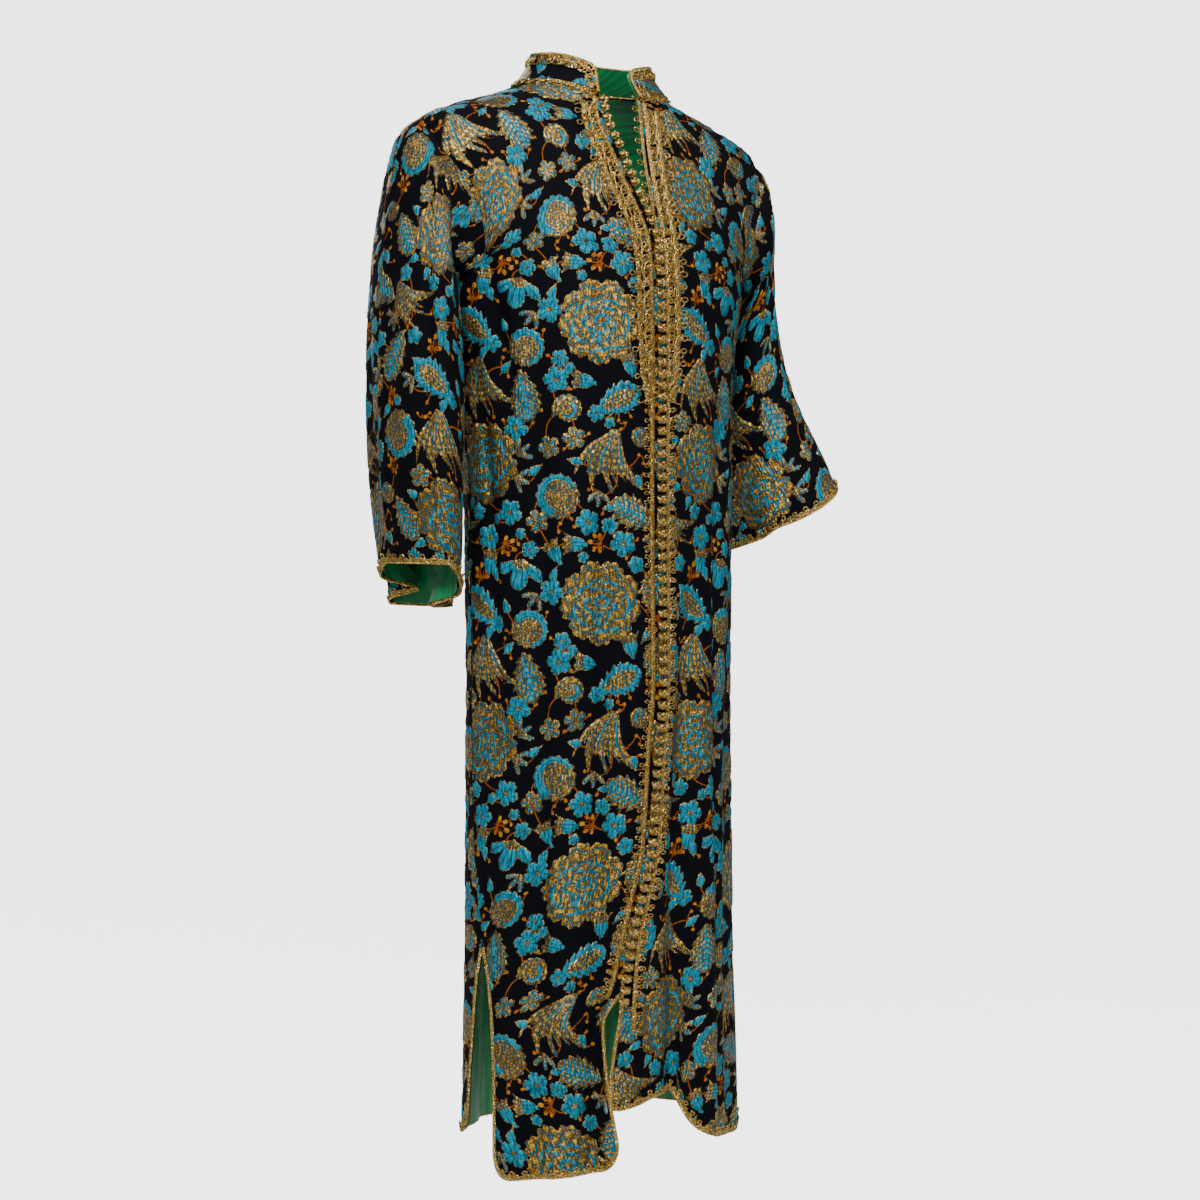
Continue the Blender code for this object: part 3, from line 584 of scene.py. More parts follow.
def draw_lily(x, y):
    away = np.hypot(x, y + 0.85)
    a = np.arctan2(x, y + 0.85)
    petal = 1.75 * (0.34 + 0.66 * np.abs(np.cos(2.9 * a)) ** 0.55)
    edge = np.minimum(petal - away, (1.15 - np.abs(a)) * np.maximum(away, 0.3)) * 0.8
    return np.minimum(edge, away - 0.62), edge, None, 5.8 * a / np.pi * 1.5 + 0.5, 4.0 * away


def draw_blossom(x, y):
    r = np.hypot(x, y)
    a = np.arctan2(y, x)
    edge = (lobes(a + 0.3, 5, 0.46, 0.50) + 0.05 * np.cos(15 * a + 0.9 + np.pi) - r) * 0.85
    return np.minimum(edge, r - 0.22), edge, None, 10 * a / (2 * np.pi) + 0.45, 5 * r


def draw_gold_blossom(x, y):
    _, edge, rust, phase, cross = draw_blossom(x, y)
    veins = np.minimum(edge - 0.16, 0.16 * (np.cos(5 * (np.arctan2(y, x) + 0.3)) - 0.45))
    return veins, edge, rust, phase, cross


def draw_bell(x, y):
    dome = np.minimum(0.60 * np.sqrt(np.clip(1.05 - np.clip(y, -1, 1) ** 2, 0, None)) - np.abs(x), y + 0.18)
    skirt_width = 0.58 + 0.60 * (-0.1 - y)
    skirt = np.minimum(np.minimum(skirt_width - np.abs(x), 0.02 - y), y + 0.92 - 0.14 * np.cos(9 * x))
    return dome, skirt, None, 3.0 * x + 0.5, 4 * y


def draw_curl(x, y):
    r = np.hypot(x, y)
    a = np.arctan2(y, x)
    edge = 0.66 + 0.32 * (a / np.pi + 1.0) / 2.0 + 0.03 * np.cos(13 * a) - r
    inner = ring_line(np.hypot(x + 0.06, y) - 0.40 - 0.06 * np.cos(a), 0.10)
    return np.minimum(
        inner, 0.75 - np.abs(a + 1.1) * 0.45
    ), edge, None, 3.6 * r + a / (2 * np.pi), 11 * a / (2 * np.pi)


def draw_spray(x, y):
    away = np.hypot(x, y + 0.8)
    a = np.arctan2(x, y + 0.8)
    edge = np.minimum(
        1.7 * (0.40 + 0.60 * np.abs(np.cos(4.2 * a))) - away, (1.0 - np.abs(a)) * np.maximum(away, 0.2)
    ) * 0.8
    teal = np.minimum(edge - 0.05, 0.10 * (np.cos(8.4 * a) - 0.70))
    return teal, edge, None, 8.4 * a / np.pi + 0.5, 4 * away


def draw_drop(x, y):
    width = 0.52 * np.sqrt(np.clip(1 - x * x, 0, None)) * (1.0 - 0.55 * x)
    edge = width - np.abs(y)
    return edge, edge - 1.0, None, 0.5 + 0.0 * x, 3 * x


def draw_bud(x, y):
    nothing = 0.0 * x - 1.0
    return nothing, nothing, 0.95 - np.hypot(x * 0.85, y * 1.25), 0.5 + 0.0 * x, 0.5 + 0.0 * x


DRAWERS = {
    "rose": draw_rose, "dahlia": draw_dahlia, "gold_leaf": draw_gold_leaf, "teal_leaf": draw_teal_leaf,
    "feather": draw_feather, "lily": draw_lily, "blossom": draw_blossom, "gold_blossom": draw_gold_blossom,
    "bell": draw_bell, "curl": draw_curl, "spray": draw_spray, "drop": draw_drop, "bud": draw_bud,
}


def lay_out_figures():
    """The large figures, then small ones scattered in the gaps, with stems to their neighbours."""
    width, height = REPEAT[0] * 1000, REPEAT[1] * 1000
    random = np.random.default_rng(FIGURE_SEED)
    placed = list(FIGURES)
    circles = [(x, y, size * REACH.get(kind, 0.94)) for kind, x, y, size, _, _ in placed]
    stems = []
    for kind, size, wanted, room in SMALL_KINDS:
        found = 0
        for _ in range(1500):
            if found == wanted:
                break
            x, y = random.uniform(0, width), random.uniform(0, height)
            gaps = []
            for cx, cy, radius in circles:
                dx = (x - cx + width / 2) % width - width / 2
                dy = (y - cy + height / 2) % height - height / 2
                gaps.append((np.hypot(dx, dy) - radius - size * room, dx, dy))
            gap, dx, dy = min(gaps)
            if gap < 1.0:
                continue
            found += 1
            circles.append((x, y, size * room))
            toward = np.degrees(np.arctan2(dy, dx))
            if kind == "sprig":
                for lean, share in ((0, 1.0), (42, 0.85), (-38, 0.8), (85, 0.6), (-80, 0.55)):
                    turn = np.radians(toward + lean)
                    tip_x, tip_y = x + size * share * np.cos(turn), y + size * share * np.sin(turn)
                    stems.append((x, y, tip_x, tip_y, 0.15 if lean < 0 else -0.15))
                    placed.append(("bud", tip_x, tip_y, 2.6 + share, toward + lean, 0.6))
            else:
                turn = toward + random.uniform(-35, 35)
                placed.append(
                    (
                        kind, x, y, size, turn if kind in ("drop", "bud") else turn - 90,
                        random.uniform(0.3, 1.0)
                    )
                )
            if gap < 18:
                stems.append((x, y, x - dx, y - dy, random.uniform(-0.4, 0.4)))
    return placed, stems


def wrapped(values, period):
    return (values + period / 2) % period - period / 2


def weave_figures(s, t):
    """The colours' distances at each point of flat cloth, with the coordinates their inner lines follow."""
    width, height = REPEAT
    woven = {name: np.full(s.shape, start) for name, start in WOVEN}
    best = np.full(s.shape, -1.0)
    placed, stems = lay_out_figures()
    for kind, cx, cy, size, turn, figure_tone in placed:
        size = size / 1000
        dx = wrapped(s - cx / 1000, width)
        dy = wrapped(t - cy / 1000, height)
        near = np.flatnonzero((np.abs(dx) < size * 1.3) & (np.abs(dy) < size * 1.3))
        c, sn = np.cos(np.radians(turn)), np.sin(np.radians(turn))
        x = (dx.flat[near] * c + dy.flat[near] * sn) / size
        y = (-dx.flat[near] * sn + dy.flat[near] * c) / size
        teal, gold, rust, phase, cross = DRAWERS[kind](x, y)
        if rust is not None:
            woven["rust"].flat[near] = np.maximum(woven["rust"].flat[near], rust * size)
            continue
        both = np.maximum(teal, gold) * size
        better = both > best.flat[near]
        mine = near[better]
        best.flat[mine] = both[better]
        for name, values in (
            ("phase", phase), ("cross", cross), ("teal", teal * size), ("gold", gold * size)
        ):
            woven[name].flat[mine] = values[better]
        woven["tone"].flat[mine] = figure_tone
    nearest = np.full(s.shape, 0.006)
    for x0, y0, x1, y1, bend in stems:
        bx, by = (x1 - x0) / 1000, (y1 - y0) / 1000
        length = np.hypot(bx, by) + 1e-9
        dx = wrapped(s - x0 / 1000, width)
        dy = wrapped(t - y0 / 1000, height)
        near = np.flatnonzero((np.abs(dx) < length + 0.01) & (np.abs(dy) < length + 0.01))
        along = (dx.flat[near] * bx + dy.flat[near] * by) / length**2
        off = (dx.flat[near] * by - dy.flat[near] * bx) / length
        inside = np.clip(along, 0, 1)
        signed = off - bend * length * 4 * inside * (1 - inside)
        distance = np.hypot(signed, (along - inside) * length)
        closer = distance < nearest.flat[near]
        mine = near[closer]
        nearest.flat[mine] = distance[closer]
        woven["stem"].flat[mine] = signed[closer]
        woven["near"].flat[mine] = 0.004 - distance[closer] - 2.0 * np.abs(along - inside)[closer] * length
    return woven


# ---- meshes ----


def grid_faces(rows, columns, closed=False):
    row = np.arange(rows - 1)[:, None] * columns
    column = np.arange(columns if closed else columns - 1)[None]
    after = (column + 1) % columns
    return np.stack(
        [row + column, row + after, row + after + columns, row + column + columns], axis=-1
    ).reshape(-1, 4)


def build_mesh(name, points, faces, uvs=None, attributes=None):
    """A mesh object at the origin, from arrays; uvs and attributes go by vertex."""
    mesh = bpy.data.meshes.new(name)
    mesh.vertices.add(len(points))
    mesh.vertices.foreach_set("co", np.ascontiguousarray(points, np.float32).ravel())
    sides = faces.shape[1]
    mesh.loops.add(faces.size)
    mesh.loops.foreach_set("vertex_index", faces.astype(np.int32).ravel())
    mesh.polygons.add(len(faces))
    mesh.polygons.foreach_set("loop_start", np.arange(0, faces.size, sides, dtype=np.int32))
    mesh.polygons.foreach_set("loop_total", np.full(len(faces), sides, dtype=np.int32))
    mesh.update(calc_edges=True)
    if uvs is not None:
        layer = mesh.uv_layers.new(name="Cut")
        layer.data.foreach_set("uv", np.ascontiguousarray(uvs[faces.ravel()], np.float32).ravel())
    for label, values in (attributes or {}).items():
        kept = mesh.attributes.new(label, "FLOAT", "POINT")
        kept.data.foreach_set("value", np.ascontiguousarray(values, np.float32).ravel())
    mesh.polygons.foreach_set("use_smooth", np.ones(len(faces), dtype=bool))
    mesh.validate()
    obj = bpy.data.objects.new(name, mesh)
    bpy.context.scene.collection.objects.link(obj)
    return obj


def face_outward(points, normals, faces):
    """Turns the faces round when they point against the given normals."""
    a, b, d = (points[faces[:, k]] for k in (0, 1, 3))
    lean = (np.cross(b - a, d - a) * normals[faces[:, 0]]).sum()
    return faces if lean > 0 else faces[:, ::-1]


def cloth_piece(name, points, normals, flat, closed=False, relief=True):
    """One dense brocade sheet over a grid, with the figures standing proud of the ground."""
    rows, columns = points.shape[:2]
    faces = grid_faces(rows, columns, closed)
    s, t = flat
    woven = weave_figures(s, t)
    raised = np.clip(np.maximum(woven["teal"], woven["gold"]) / 0.0035, 0.0, 1.0)
    pucker = soft_noise(s / 0.0045, t / 0.018, 5) * 0.00045 + soft_noise(s / 0.055, t / 0.16, 8) * 0.0011
    lift = 0.0010 * raised * (2 - raised) + pucker
    moved = points + normals * (lift if relief else 0.0)[..., None]
    flat_points = moved.reshape(-1, 3)
    faces = face_outward(flat_points, normals.reshape(-1, 3), faces)
    uvs = np.stack([s, t], axis=-1).reshape(-1, 2)
    obj = build_mesh(name, flat_points, faces, uvs, {key: values.ravel() for key, values in woven.items()})
    obj.data.materials.append(brocade_material())
    return obj


def flat_lengths(points, level_row):
    """Cloth distances across and along a grid, the along distance counted from a level row."""
    along = np.linalg.norm(np.diff(points, axis=0), axis=-1)
    along = np.concatenate([np.zeros((1, points.shape[1])), np.cumsum(along, axis=0)])
    along = along - along[level_row : level_row + 1]
    across = np.linalg.norm(np.diff(points, axis=1), axis=-1)
    across = np.concatenate([np.zeros((points.shape[0], 1)), np.cumsum(across, axis=1)], axis=1)
    return across, along


def cord_mesh(strands, sides=5):
    """Points, faces and twist coordinates of round cords; each strand is a path with a radius."""
    turn = np.linspace(0.0, 2 * np.pi, sides, endpoint=False)
    all_points, all_faces, all_uvs = [], [], []
    start = 0
    for path, radius, closed in strands:
        count = len(path)
        if closed:
            ahead = np.roll(path, -1, axis=0) - np.roll(path, 1, axis=0)
        else:
            ahead = np.gradient(path, axis=0)
        ahead = unit(ahead)
        seed = np.array([0.31, -0.87, 0.38])
        first = unit(np.cross(ahead, seed))
        second = np.cross(ahead, first)
        ring = np.cos(turn)[None, :, None] * first[:, None] + np.sin(turn)[None, :, None] * second[:, None]
        points = path[:, None] + ring * np.broadcast_to(np.asarray(radius, float), (count,))[:, None, None]
        run = np.concatenate([[0.0], np.cumsum(np.linalg.norm(np.diff(path, axis=0), axis=1))])
        uv = np.stack(
            [
                np.broadcast_to(run[:, None], (count, sides)),
                np.broadcast_to(turn[None] / (2 * np.pi), (count, sides))
            ],
            axis=-1
        )
        row = np.arange(count if closed else count - 1)[:, None]
        column = np.arange(sides)[None]
        after = (column + 1) % sides
        below = (row + 1) % count
        faces = np.stack(
            [row * sides + column, row * sides + after, below * sides + after, below * sides + column],
            axis=-1
        )
        all_faces.append(faces.reshape(-1, 4) + start)
        all_points.append(points.reshape(-1, 3))
        all_uvs.append(uv.reshape(-1, 2))
        start += count * sides
    return np.concatenate(all_points), np.concatenate(all_faces), np.concatenate(all_uvs)


def cord_piece(name, strands, sides=5):
    points, faces, uvs = cord_mesh(strands, sides)
    obj = build_mesh(name, points, faces[:, ::-1], uvs)
    obj.data.materials.append(braid_material())
    return obj


class Track:
    """A line on the cloth that a braid follows, read by distance along it."""

    def __init__(self, points, across, up):
        run = np.linalg.norm(np.diff(points, axis=0), axis=1)
        self.run = np.concatenate([[0.0], np.cumsum(run)])
        self.length = self.run[-1]
        self.columns = np.concatenate([points, unit(across), unit(up)], axis=1)

    def at(self, distance, across=0.0, up=0.0):
        read = np.stack([np.interp(distance, self.run, self.columns[:, k]) for k in range(9)], axis=-1)
        side = unit(read[:, 3:6])
        lift = unit(read[:, 6:9])
        return read[:, :3] + side * np.asarray(across)[..., None] + lift * np.asarray(up)[..., None]


def looped_strand(track, reach, pitch, radius, offset=0.0, lift=0.0012, phase=0.0, steps=14):
    """One cord that loops along the track; the loops lie at the side the reach points to."""
    count = max(2, int(round(track.length / pitch)))
    pitch = track.length / count
    turn = np.linspace(0.0, 2 * np.pi * count, count * steps + 1)
    along = turn / (2 * np.pi) * pitch - 0.40 * pitch * np.sin(turn + phase)
    uneven = 1.0 + 0.16 * np.sin(turn * 0.37 + 2.0 * phase)
    across = offset + reach * np.cos(turn + phase) * uneven
    height = lift + radius * (1.0 + 0.9 * np.sin(turn + phase + 0.8))
    return (track.at(np.clip(along, 0.0, track.length), across, height), radius, False)


def plait_strands(track, half_width, pitch, radius, lift, offset=0.0, steps=10):
    """Three cords plaited along the track."""
    count = max(2, int(round(track.length / pitch)))
    phase = np.linspace(0.0, 2 * np.pi * count, count * steps + 1)
    along = phase / (2 * np.pi * count) * track.length
    strands = []
    for third in range(3):
        shifted = phase + third * 2 * np.pi / 3
        across = offset + half_width * np.sin(shifted)
        strands.append((track.at(along, across, lift + radius * 0.85 * np.sin(2 * shifted)), radius, False))
    return strands


def knot_path(centre, ahead, across, up, radius, steps=40):
    """A closed trefoil of cord that fills a round knot."""
    turn = np.linspace(0.0, 2 * np.pi, steps, endpoint=False)
    out = 0.38 + 0.20 * np.cos(3 * turn)
    a = radius * out * np.cos(2 * turn) * 0.84
    b = radius * out * np.sin(2 * turn) * 1.22
    h = radius * 0.30 * np.sin(3 * turn) - radius * 0.9 * out**2
    return centre + a[:, None] * ahead + b[:, None] * across + h[:, None] * up


# ---- materials ----


def new_group(name, inputs, outputs):
    group = bpy.data.node_groups.new(name, "ShaderNodeTree")
    for label, kind, value in inputs:
        socket = group.interface.new_socket(name=label, in_out="INPUT", socket_type=kind)
        socket.default_value = value
    for label, kind in outputs:
        group.interface.new_socket(name=label, in_out="OUTPUT", socket_type=kind)
    enter = group.nodes.new("NodeGroupInput")
    leave = group.nodes.new("NodeGroupOutput")
    return group, enter, leave


class Wiring:
    """Short ways to add and join shader nodes in one tree."""

    def __init__(self, tree):
        self.tree = tree

    def node(self, kind, inputs=None, **settings):
        made = self.tree.nodes.new(kind)
        for key, value in settings.items():
            setattr(made, key, value)
        for key, value in (inputs or {}).items():
            self.feed(made.inputs[key], value)
        return made

    def feed(self, socket, value):
        if isinstance(value, bpy.types.NodeSocket):
            self.tree.links.new(value, socket)
        else:
            socket.default_value = value

    def math(self, operation, a, b=0.0, c=0.0):
        return self.node("ShaderNodeMath", {0: a, 1: b, 2: c}, operation=operation).outputs[0]

    def ramp(self, value, low, high, to_low=0.0, to_high=1.0):
        made = self.node(
            "ShaderNodeMapRange",
            {"Value": value, "From Min": low, "From Max": high, "To Min": to_low, "To Max": to_high}
        )
        return made.outputs["Result"]

    def mix(self, share, a, b):
        made = self.node("ShaderNodeMix", data_type="RGBA")
        self.feed(made.inputs["Factor"], share)
        self.feed(made.inputs[6], a)
        self.feed(made.inputs[7], b)
        return made.outputs[2]

    def noise(self, vector, scale, detail=2.0, roughness=0.5):
        made = self.node(
            "ShaderNodeTexNoise",
            {"Vector": vector, "Scale": scale, "Detail": detail, "Roughness": roughness}
        )
        return made.outputs["Fac"]

    def stretched(self, vector, scale):
        made = self.node("ShaderNodeMapping", {"Vector": vector, "Scale": scale})
        return made.outputs["Vector"]

    def attribute(self, name):
        return self.node("ShaderNodeAttribute", attribute_name=name).outputs["Fac"]


CLOTH_COLOURS = (
    ("Ground", "ground"), ("Turquoise", "turquoise"), ("Gold", "gold"), ("Ochre", "ochre"), ("Rust", "rust")
)
CLOTH_VALUES = (
    ("Turquoise Distance", "teal"), ("Gold Distance", "gold"), ("Rust Distance", "rust"),
    ("Stem Offset", "stem"),
    ("Stem Nearness", "near"), ("Line Phase", "phase"), ("Cross Phase", "cross"), ("Tone", "tone"),
)


def brocade_group():
    """Colours, shine and relief of the figured cloth from its woven distances."""
    found = bpy.data.node_groups.get("Figured Brocade")
    if found:
        return found
    colours = bpy.context.scene.kaftan_colours
    inputs = [(name, "NodeSocketColor", tuple(getattr(colours, key))) for name, key in CLOTH_COLOURS]
    inputs += [(name, "NodeSocketFloat", 0.0) for name, key in CLOTH_VALUES]
    group, enter, leave = new_group(
        "Figured Brocade",
        inputs + [("Cloth", "NodeSocketVector", (0.0, 0.0, 0.0))],
        [
            ("Color", "NodeSocketColor"), ("Metallic", "NodeSocketFloat"), ("Roughness", "NodeSocketFloat"),
            ("Height", "NodeSocketFloat")
        ],
    )
    w = Wiring(group)
    fed = enter.outputs
    ripple = w.noise(w.stretched(fed["Cloth"], (430.0, 95.0, 1.0)), 1.0, 2.0, 0.55)
    glitter = w.noise(w.stretched(fed["Cloth"], (640.0, 400.0, 1.0)), 1.0, 2.0, 0.65)
    sheen = w.noise(w.stretched(fed["Cloth"], (26.0, 12.0, 1.0)), 1.0, 2.0, 0.5)
    spread = w.math("SUBTRACT", glitter, 0.5)
    ragged = w.math("MULTIPLY", spread, 0.0014)
    teal_edge = w.math("ADD", fed["Turquoise Distance"], ragged)
    gold_edge = w.math("ADD", fed["Gold Distance"], ragged)
    in_teal = w.ramp(teal_edge, -0.0001, 0.0002)
    near_teal = w.ramp(teal_edge, -0.0010, -0.0007)
    in_gold = w.ramp(gold_edge, -0.0001, 0.0002)
    in_rust = w.ramp(w.math("ADD", fed["Rust Distance"], ragged), -0.0001, 0.0002)
    stem_width = w.math("ADD", 0.00085, ragged)
    in_stem = w.ramp(
        w.math("SUBTRACT", stem_width, w.math("ABSOLUTE", fed["Stem Offset"])), -0.0001, 0.0002
    )
    in_stem = w.math("MULTIPLY", in_stem, w.ramp(fed["Stem Nearness"], 0.0, 0.0004))
    cycle = w.math("PINGPONG", fed["Line Phase"], 0.5)
    beads = w.math("MULTIPLY", cycle, w.math("PINGPONG", fed["Cross Phase"], 0.5))
    line = w.ramp(w.math("ADD", cycle, w.math("MULTIPLY", spread, 0.16)), 0.115, 0.065)
    inside = w.ramp(w.math("MAXIMUM", teal_edge, gold_edge), 0.0008, 0.0015)
    line = w.math("MULTIPLY", line, inside)
    # Gold thread breaks up into flecks over its dull backing, partly real and partly painted glitter: the
    # lighter flecks and the pale yellow glints stand in for the metal thread's reflections, scaled by a broad
    # noise and each figure's tone.
    shine = w.math("ADD", glitter, w.math("MULTIPLY", w.math("SUBTRACT", ripple, 0.5), 0.75))
    shine = w.math("ADD", shine, w.math("MULTIPLY", w.math("SUBTRACT", beads, 0.06), 0.9))
    fleck_and_painted_glitter = w.ramp(shine, 0.49, 0.58)
    painted_glint = w.ramp(shine, 0.60, 0.67)
    worth = w.ramp(w.math("ADD", sheen, w.math("MULTIPLY", fed["Tone"], 0.30)), 0.45, 0.85, 0.25, 1.0)
    gold = w.mix(w.math("MULTIPLY", fleck_and_painted_glitter, worth), fed["Ochre"], fed["Gold"])
    # Painted highlight: pale yellow glints painted into the gold.
    gold = w.mix(w.math("MULTIPLY", painted_glint, worth), gold, (1.0, 0.74, 0.20, 1.0))
    gold = w.mix(w.ramp(shine, 0.42, 0.36), gold, w.mix(0.45, fed["Turquoise"], fed["Ground"]))
    # Painted shade and painted highlight on the turquoise: darker in the ripples' valleys and lighter on
    # their crests, following the ripple that also raises the bump.
    teal_painted_ripple_shade = w.mix(0.68, fed["Turquoise"], (0.0, 0.02, 0.05, 1.0))
    teal_painted_ripple_highlight = w.mix(0.40, fed["Turquoise"], (0.01, 0.72, 0.90, 1.0))
    waves = w.math("ADD", ripple, w.math("MULTIPLY", spread, 0.5))
    teal = w.mix(w.ramp(waves, 0.34, 0.52), teal_painted_ripple_shade, fed["Turquoise"])
    teal = w.mix(w.ramp(waves, 0.56, 0.72), teal, teal_painted_ripple_highlight)
    gold_drawn = w.mix(w.math("MULTIPLY", line, 0.80), gold, w.mix(0.45, fed["Turquoise"], fed["Ground"]))
    teal_drawn = w.mix(w.math("MULTIPLY", line, 0.70), teal, w.mix(0.6, fed["Ochre"], fed["Ground"]))
    colour = w.mix(w.math("MULTIPLY", in_stem, w.ramp(ripple, 0.30, 0.42)), fed["Ground"], fed["Rust"])
    colour = w.mix(in_rust, colour, w.mix(w.math("MULTIPLY", fleck_and_painted_glitter, 0.55), fed["Rust"], fed["Gold"]))
    colour = w.mix(w.math("MULTIPLY", near_teal, w.ramp(ripple, 0.30, 0.40)), colour, gold)
    colour = w.mix(in_gold, colour, gold_drawn)
    colour = w.mix(in_teal, colour, teal_drawn)
    figured = w.math("MAXIMUM", w.math("MAXIMUM", in_gold, in_teal), near_teal)
    only_gold = w.math("MULTIPLY", w.math("MAXIMUM", in_gold, near_teal), w.math("SUBTRACT", 1.0, in_teal))
    metallic = w.math("ADD", w.math("MULTIPLY", only_gold, 0.90), w.math("MULTIPLY", in_teal, 0.30))
    roughness = w.math(
        "SUBTRACT", w.ramp(figured, 0.0, 1.0, 0.85, 0.46),
        w.math("MULTIPLY", w.math("MULTIPLY", fleck_and_painted_glitter, only_gold), 0.14)
    )
    puff = w.ramp(w.math("MAXIMUM", fed["Turquoise Distance"], fed["Gold Distance"]), -0.0006, 0.0022)
    creped = w.math("MULTIPLY", w.math("MULTIPLY", ripple, figured), 2.0)
    height = w.math(
        "ADD", w.math("ADD", w.math("MULTIPLY", puff, 0.8), creped), w.math("MULTIPLY", glitter, 0.55)
    )
    height = w.math("SUBTRACT", height, w.math("MULTIPLY", line, 0.45))
    for label, value in (
        ("Color", colour), ("Metallic", metallic), ("Roughness", roughness), ("Height", height)
    ):
        group.links.new(value, leave.inputs[label])
    return group


def plain_material(name):
    made = bpy.data.materials.new(name)
    made.use_nodes = True
    return made, Wiring(made.node_tree), made.node_tree.nodes["Principled BSDF"]


def brocade_material():
    found = bpy.data.materials.get("Figured brocade")
    if found:
        return found
    made, w, shader = plain_material("Figured brocade")
    colours = bpy.context.scene.kaftan_colours
    group = w.node("ShaderNodeGroup", node_tree=brocade_group())
    for name, key in CLOTH_COLOURS:
        group.inputs[name].default_value = tuple(getattr(colours, key))
    for name, key in CLOTH_VALUES:
        w.feed(group.inputs[name], w.attribute(key))
    w.feed(group.inputs["Cloth"], w.node("ShaderNodeUVMap", uv_map="Cut").outputs["UV"])
    bump = w.node(
        "ShaderNodeBump", {"Height": group.outputs["Height"], "Strength": 1.0, "Distance": 0.0012}
    )
    w.feed(shader.inputs["Base Color"], group.outputs["Color"])
    w.feed(shader.inputs["Metallic"], group.outputs["Metallic"])
    w.feed(shader.inputs["Roughness"], group.outputs["Roughness"])
    w.feed(shader.inputs["Normal"], bump.outputs["Normal"])
    shader.inputs["Specular IOR Level"].default_value = 0.12
    return made


def lining_material():
    found = bpy.data.materials.get("Green satin")
    if found:
        return found
    made, w, shader = plain_material("Green satin")
    cloth = w.node("ShaderNodeUVMap", uv_map="Cut").outputs["UV"]
    streak = w.noise(w.stretched(cloth, (90.0, 9.0, 1.0)), 1.0, 3.0, 0.5)
    thread = w.noise(w.stretched(cloth, (1600.0, 500.0, 1.0)), 1.0, 1.0, 0.5)
    colour = tuple(bpy.context.scene.kaftan_colours.lining)
    # Painted shade: the green darkens where the streak noise is low, in the soft creases that the bump sinks
    # there.
    painted_crease_shade = tuple(channel * 0.45 for channel in colour[:3]) + (1.0,)
    w.feed(shader.inputs["Base Color"], w.mix(w.ramp(streak, 0.35, 0.65), painted_crease_shade, colour))
    w.feed(shader.inputs["Roughness"], w.ramp(thread, 0.3, 0.7, 0.30, 0.42))
    shader.inputs["Sheen Weight"].default_value = 0.25
    height = w.math("ADD", w.math("MULTIPLY", streak, 3.0), w.math("MULTIPLY", thread, 0.15))
    bump = w.node("ShaderNodeBump", {"Height": height, "Strength": 0.5, "Distance": 0.0012})
    w.feed(shader.inputs["Normal"], bump.outputs["Normal"])
    return made


def braid_material():
    found = bpy.data.materials.get("Twisted gold cord")
    if found:
        return found
    made, w, shader = plain_material("Twisted gold cord")
    parts = w.node("ShaderNodeSeparateXYZ", {0: w.node("ShaderNodeUVMap", uv_map="Cut").outputs["UV"]})
    twist = w.math(
        "ADD", w.math("MULTIPLY", parts.outputs["X"], 330.0), w.math("MULTIPLY", parts.outputs["Y"], 2.0)
    )
    ply = w.math("PINGPONG", twist, 0.5)
    speck = w.noise(w.node("ShaderNodeTexCoord").outputs["Object"], 620.0, 2.0, 0.6)
    colour = tuple(bpy.context.scene.kaftan_colours.braid)
    # Painted shade darkens the grooves between the plies, and painted glints from the speck noise lighten the
    # cord in small spots.
    painted_groove_shade = (colour[0] * 0.09, colour[1] * 0.07, colour[2] * 0.08, 1.0)
    painted_glint_colour = (1.0, min(1.0, colour[1] * 1.75), min(1.0, colour[2] * 4.0), 1.0)
    base = w.mix(w.ramp(ply, 0.12, 0.40), painted_groove_shade, colour)
    w.feed(shader.inputs["Base Color"], w.mix(w.ramp(speck, 0.53, 0.62), base, painted_glint_colour))
    shader.inputs["Metallic"].default_value = 1.0
    w.feed(shader.inputs["Roughness"], w.ramp(speck, 0.3, 0.7, 0.42, 0.22))
    bump = w.node("ShaderNodeBump", {"Height": ply, "Strength": 0.8, "Distance": 0.0005})
    w.feed(shader.inputs["Normal"], bump.outputs["Normal"])
    return made


# ---- pieces ----


def sizes():
    return bpy.context.scene.kaftan_sizes


def hand(side):
    return "right" if side < 0 else "left"


def settle(obj, slot, *nodes):
    """Says where a piece belongs: it rides on the garment's one body and stands for its CAD nodes."""
    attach(obj, "root")
    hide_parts(*nodes)
    return obj


def front_surface(side, step, first=0.0):
    rows = even_rows("front", side, first, ROW_COUNT - 1.0, step)
    count = int(round(FRONT_WIDTH / step))
    angles, heights, _ = panel_grid("front", side, rows, np.linspace(0.0, 1.0, count + 1))
    return rows, angles, heights


def back_surface(step, first=0.0):
    """Both halves of the back side by side; the neck edge is on the inner ends of the upper rows."""
    rows = even_rows("back", 1, first, ROW_COUNT - 1.0, step)
    count = int(round(BACK_HALF_WIDTH / step))
    shares = np.linspace(0.0, 1.0, count + 1)
    left = panel_grid("back", 1, rows, shares)
    right = panel_grid("back", -1, rows, shares)
    return rows, left, right


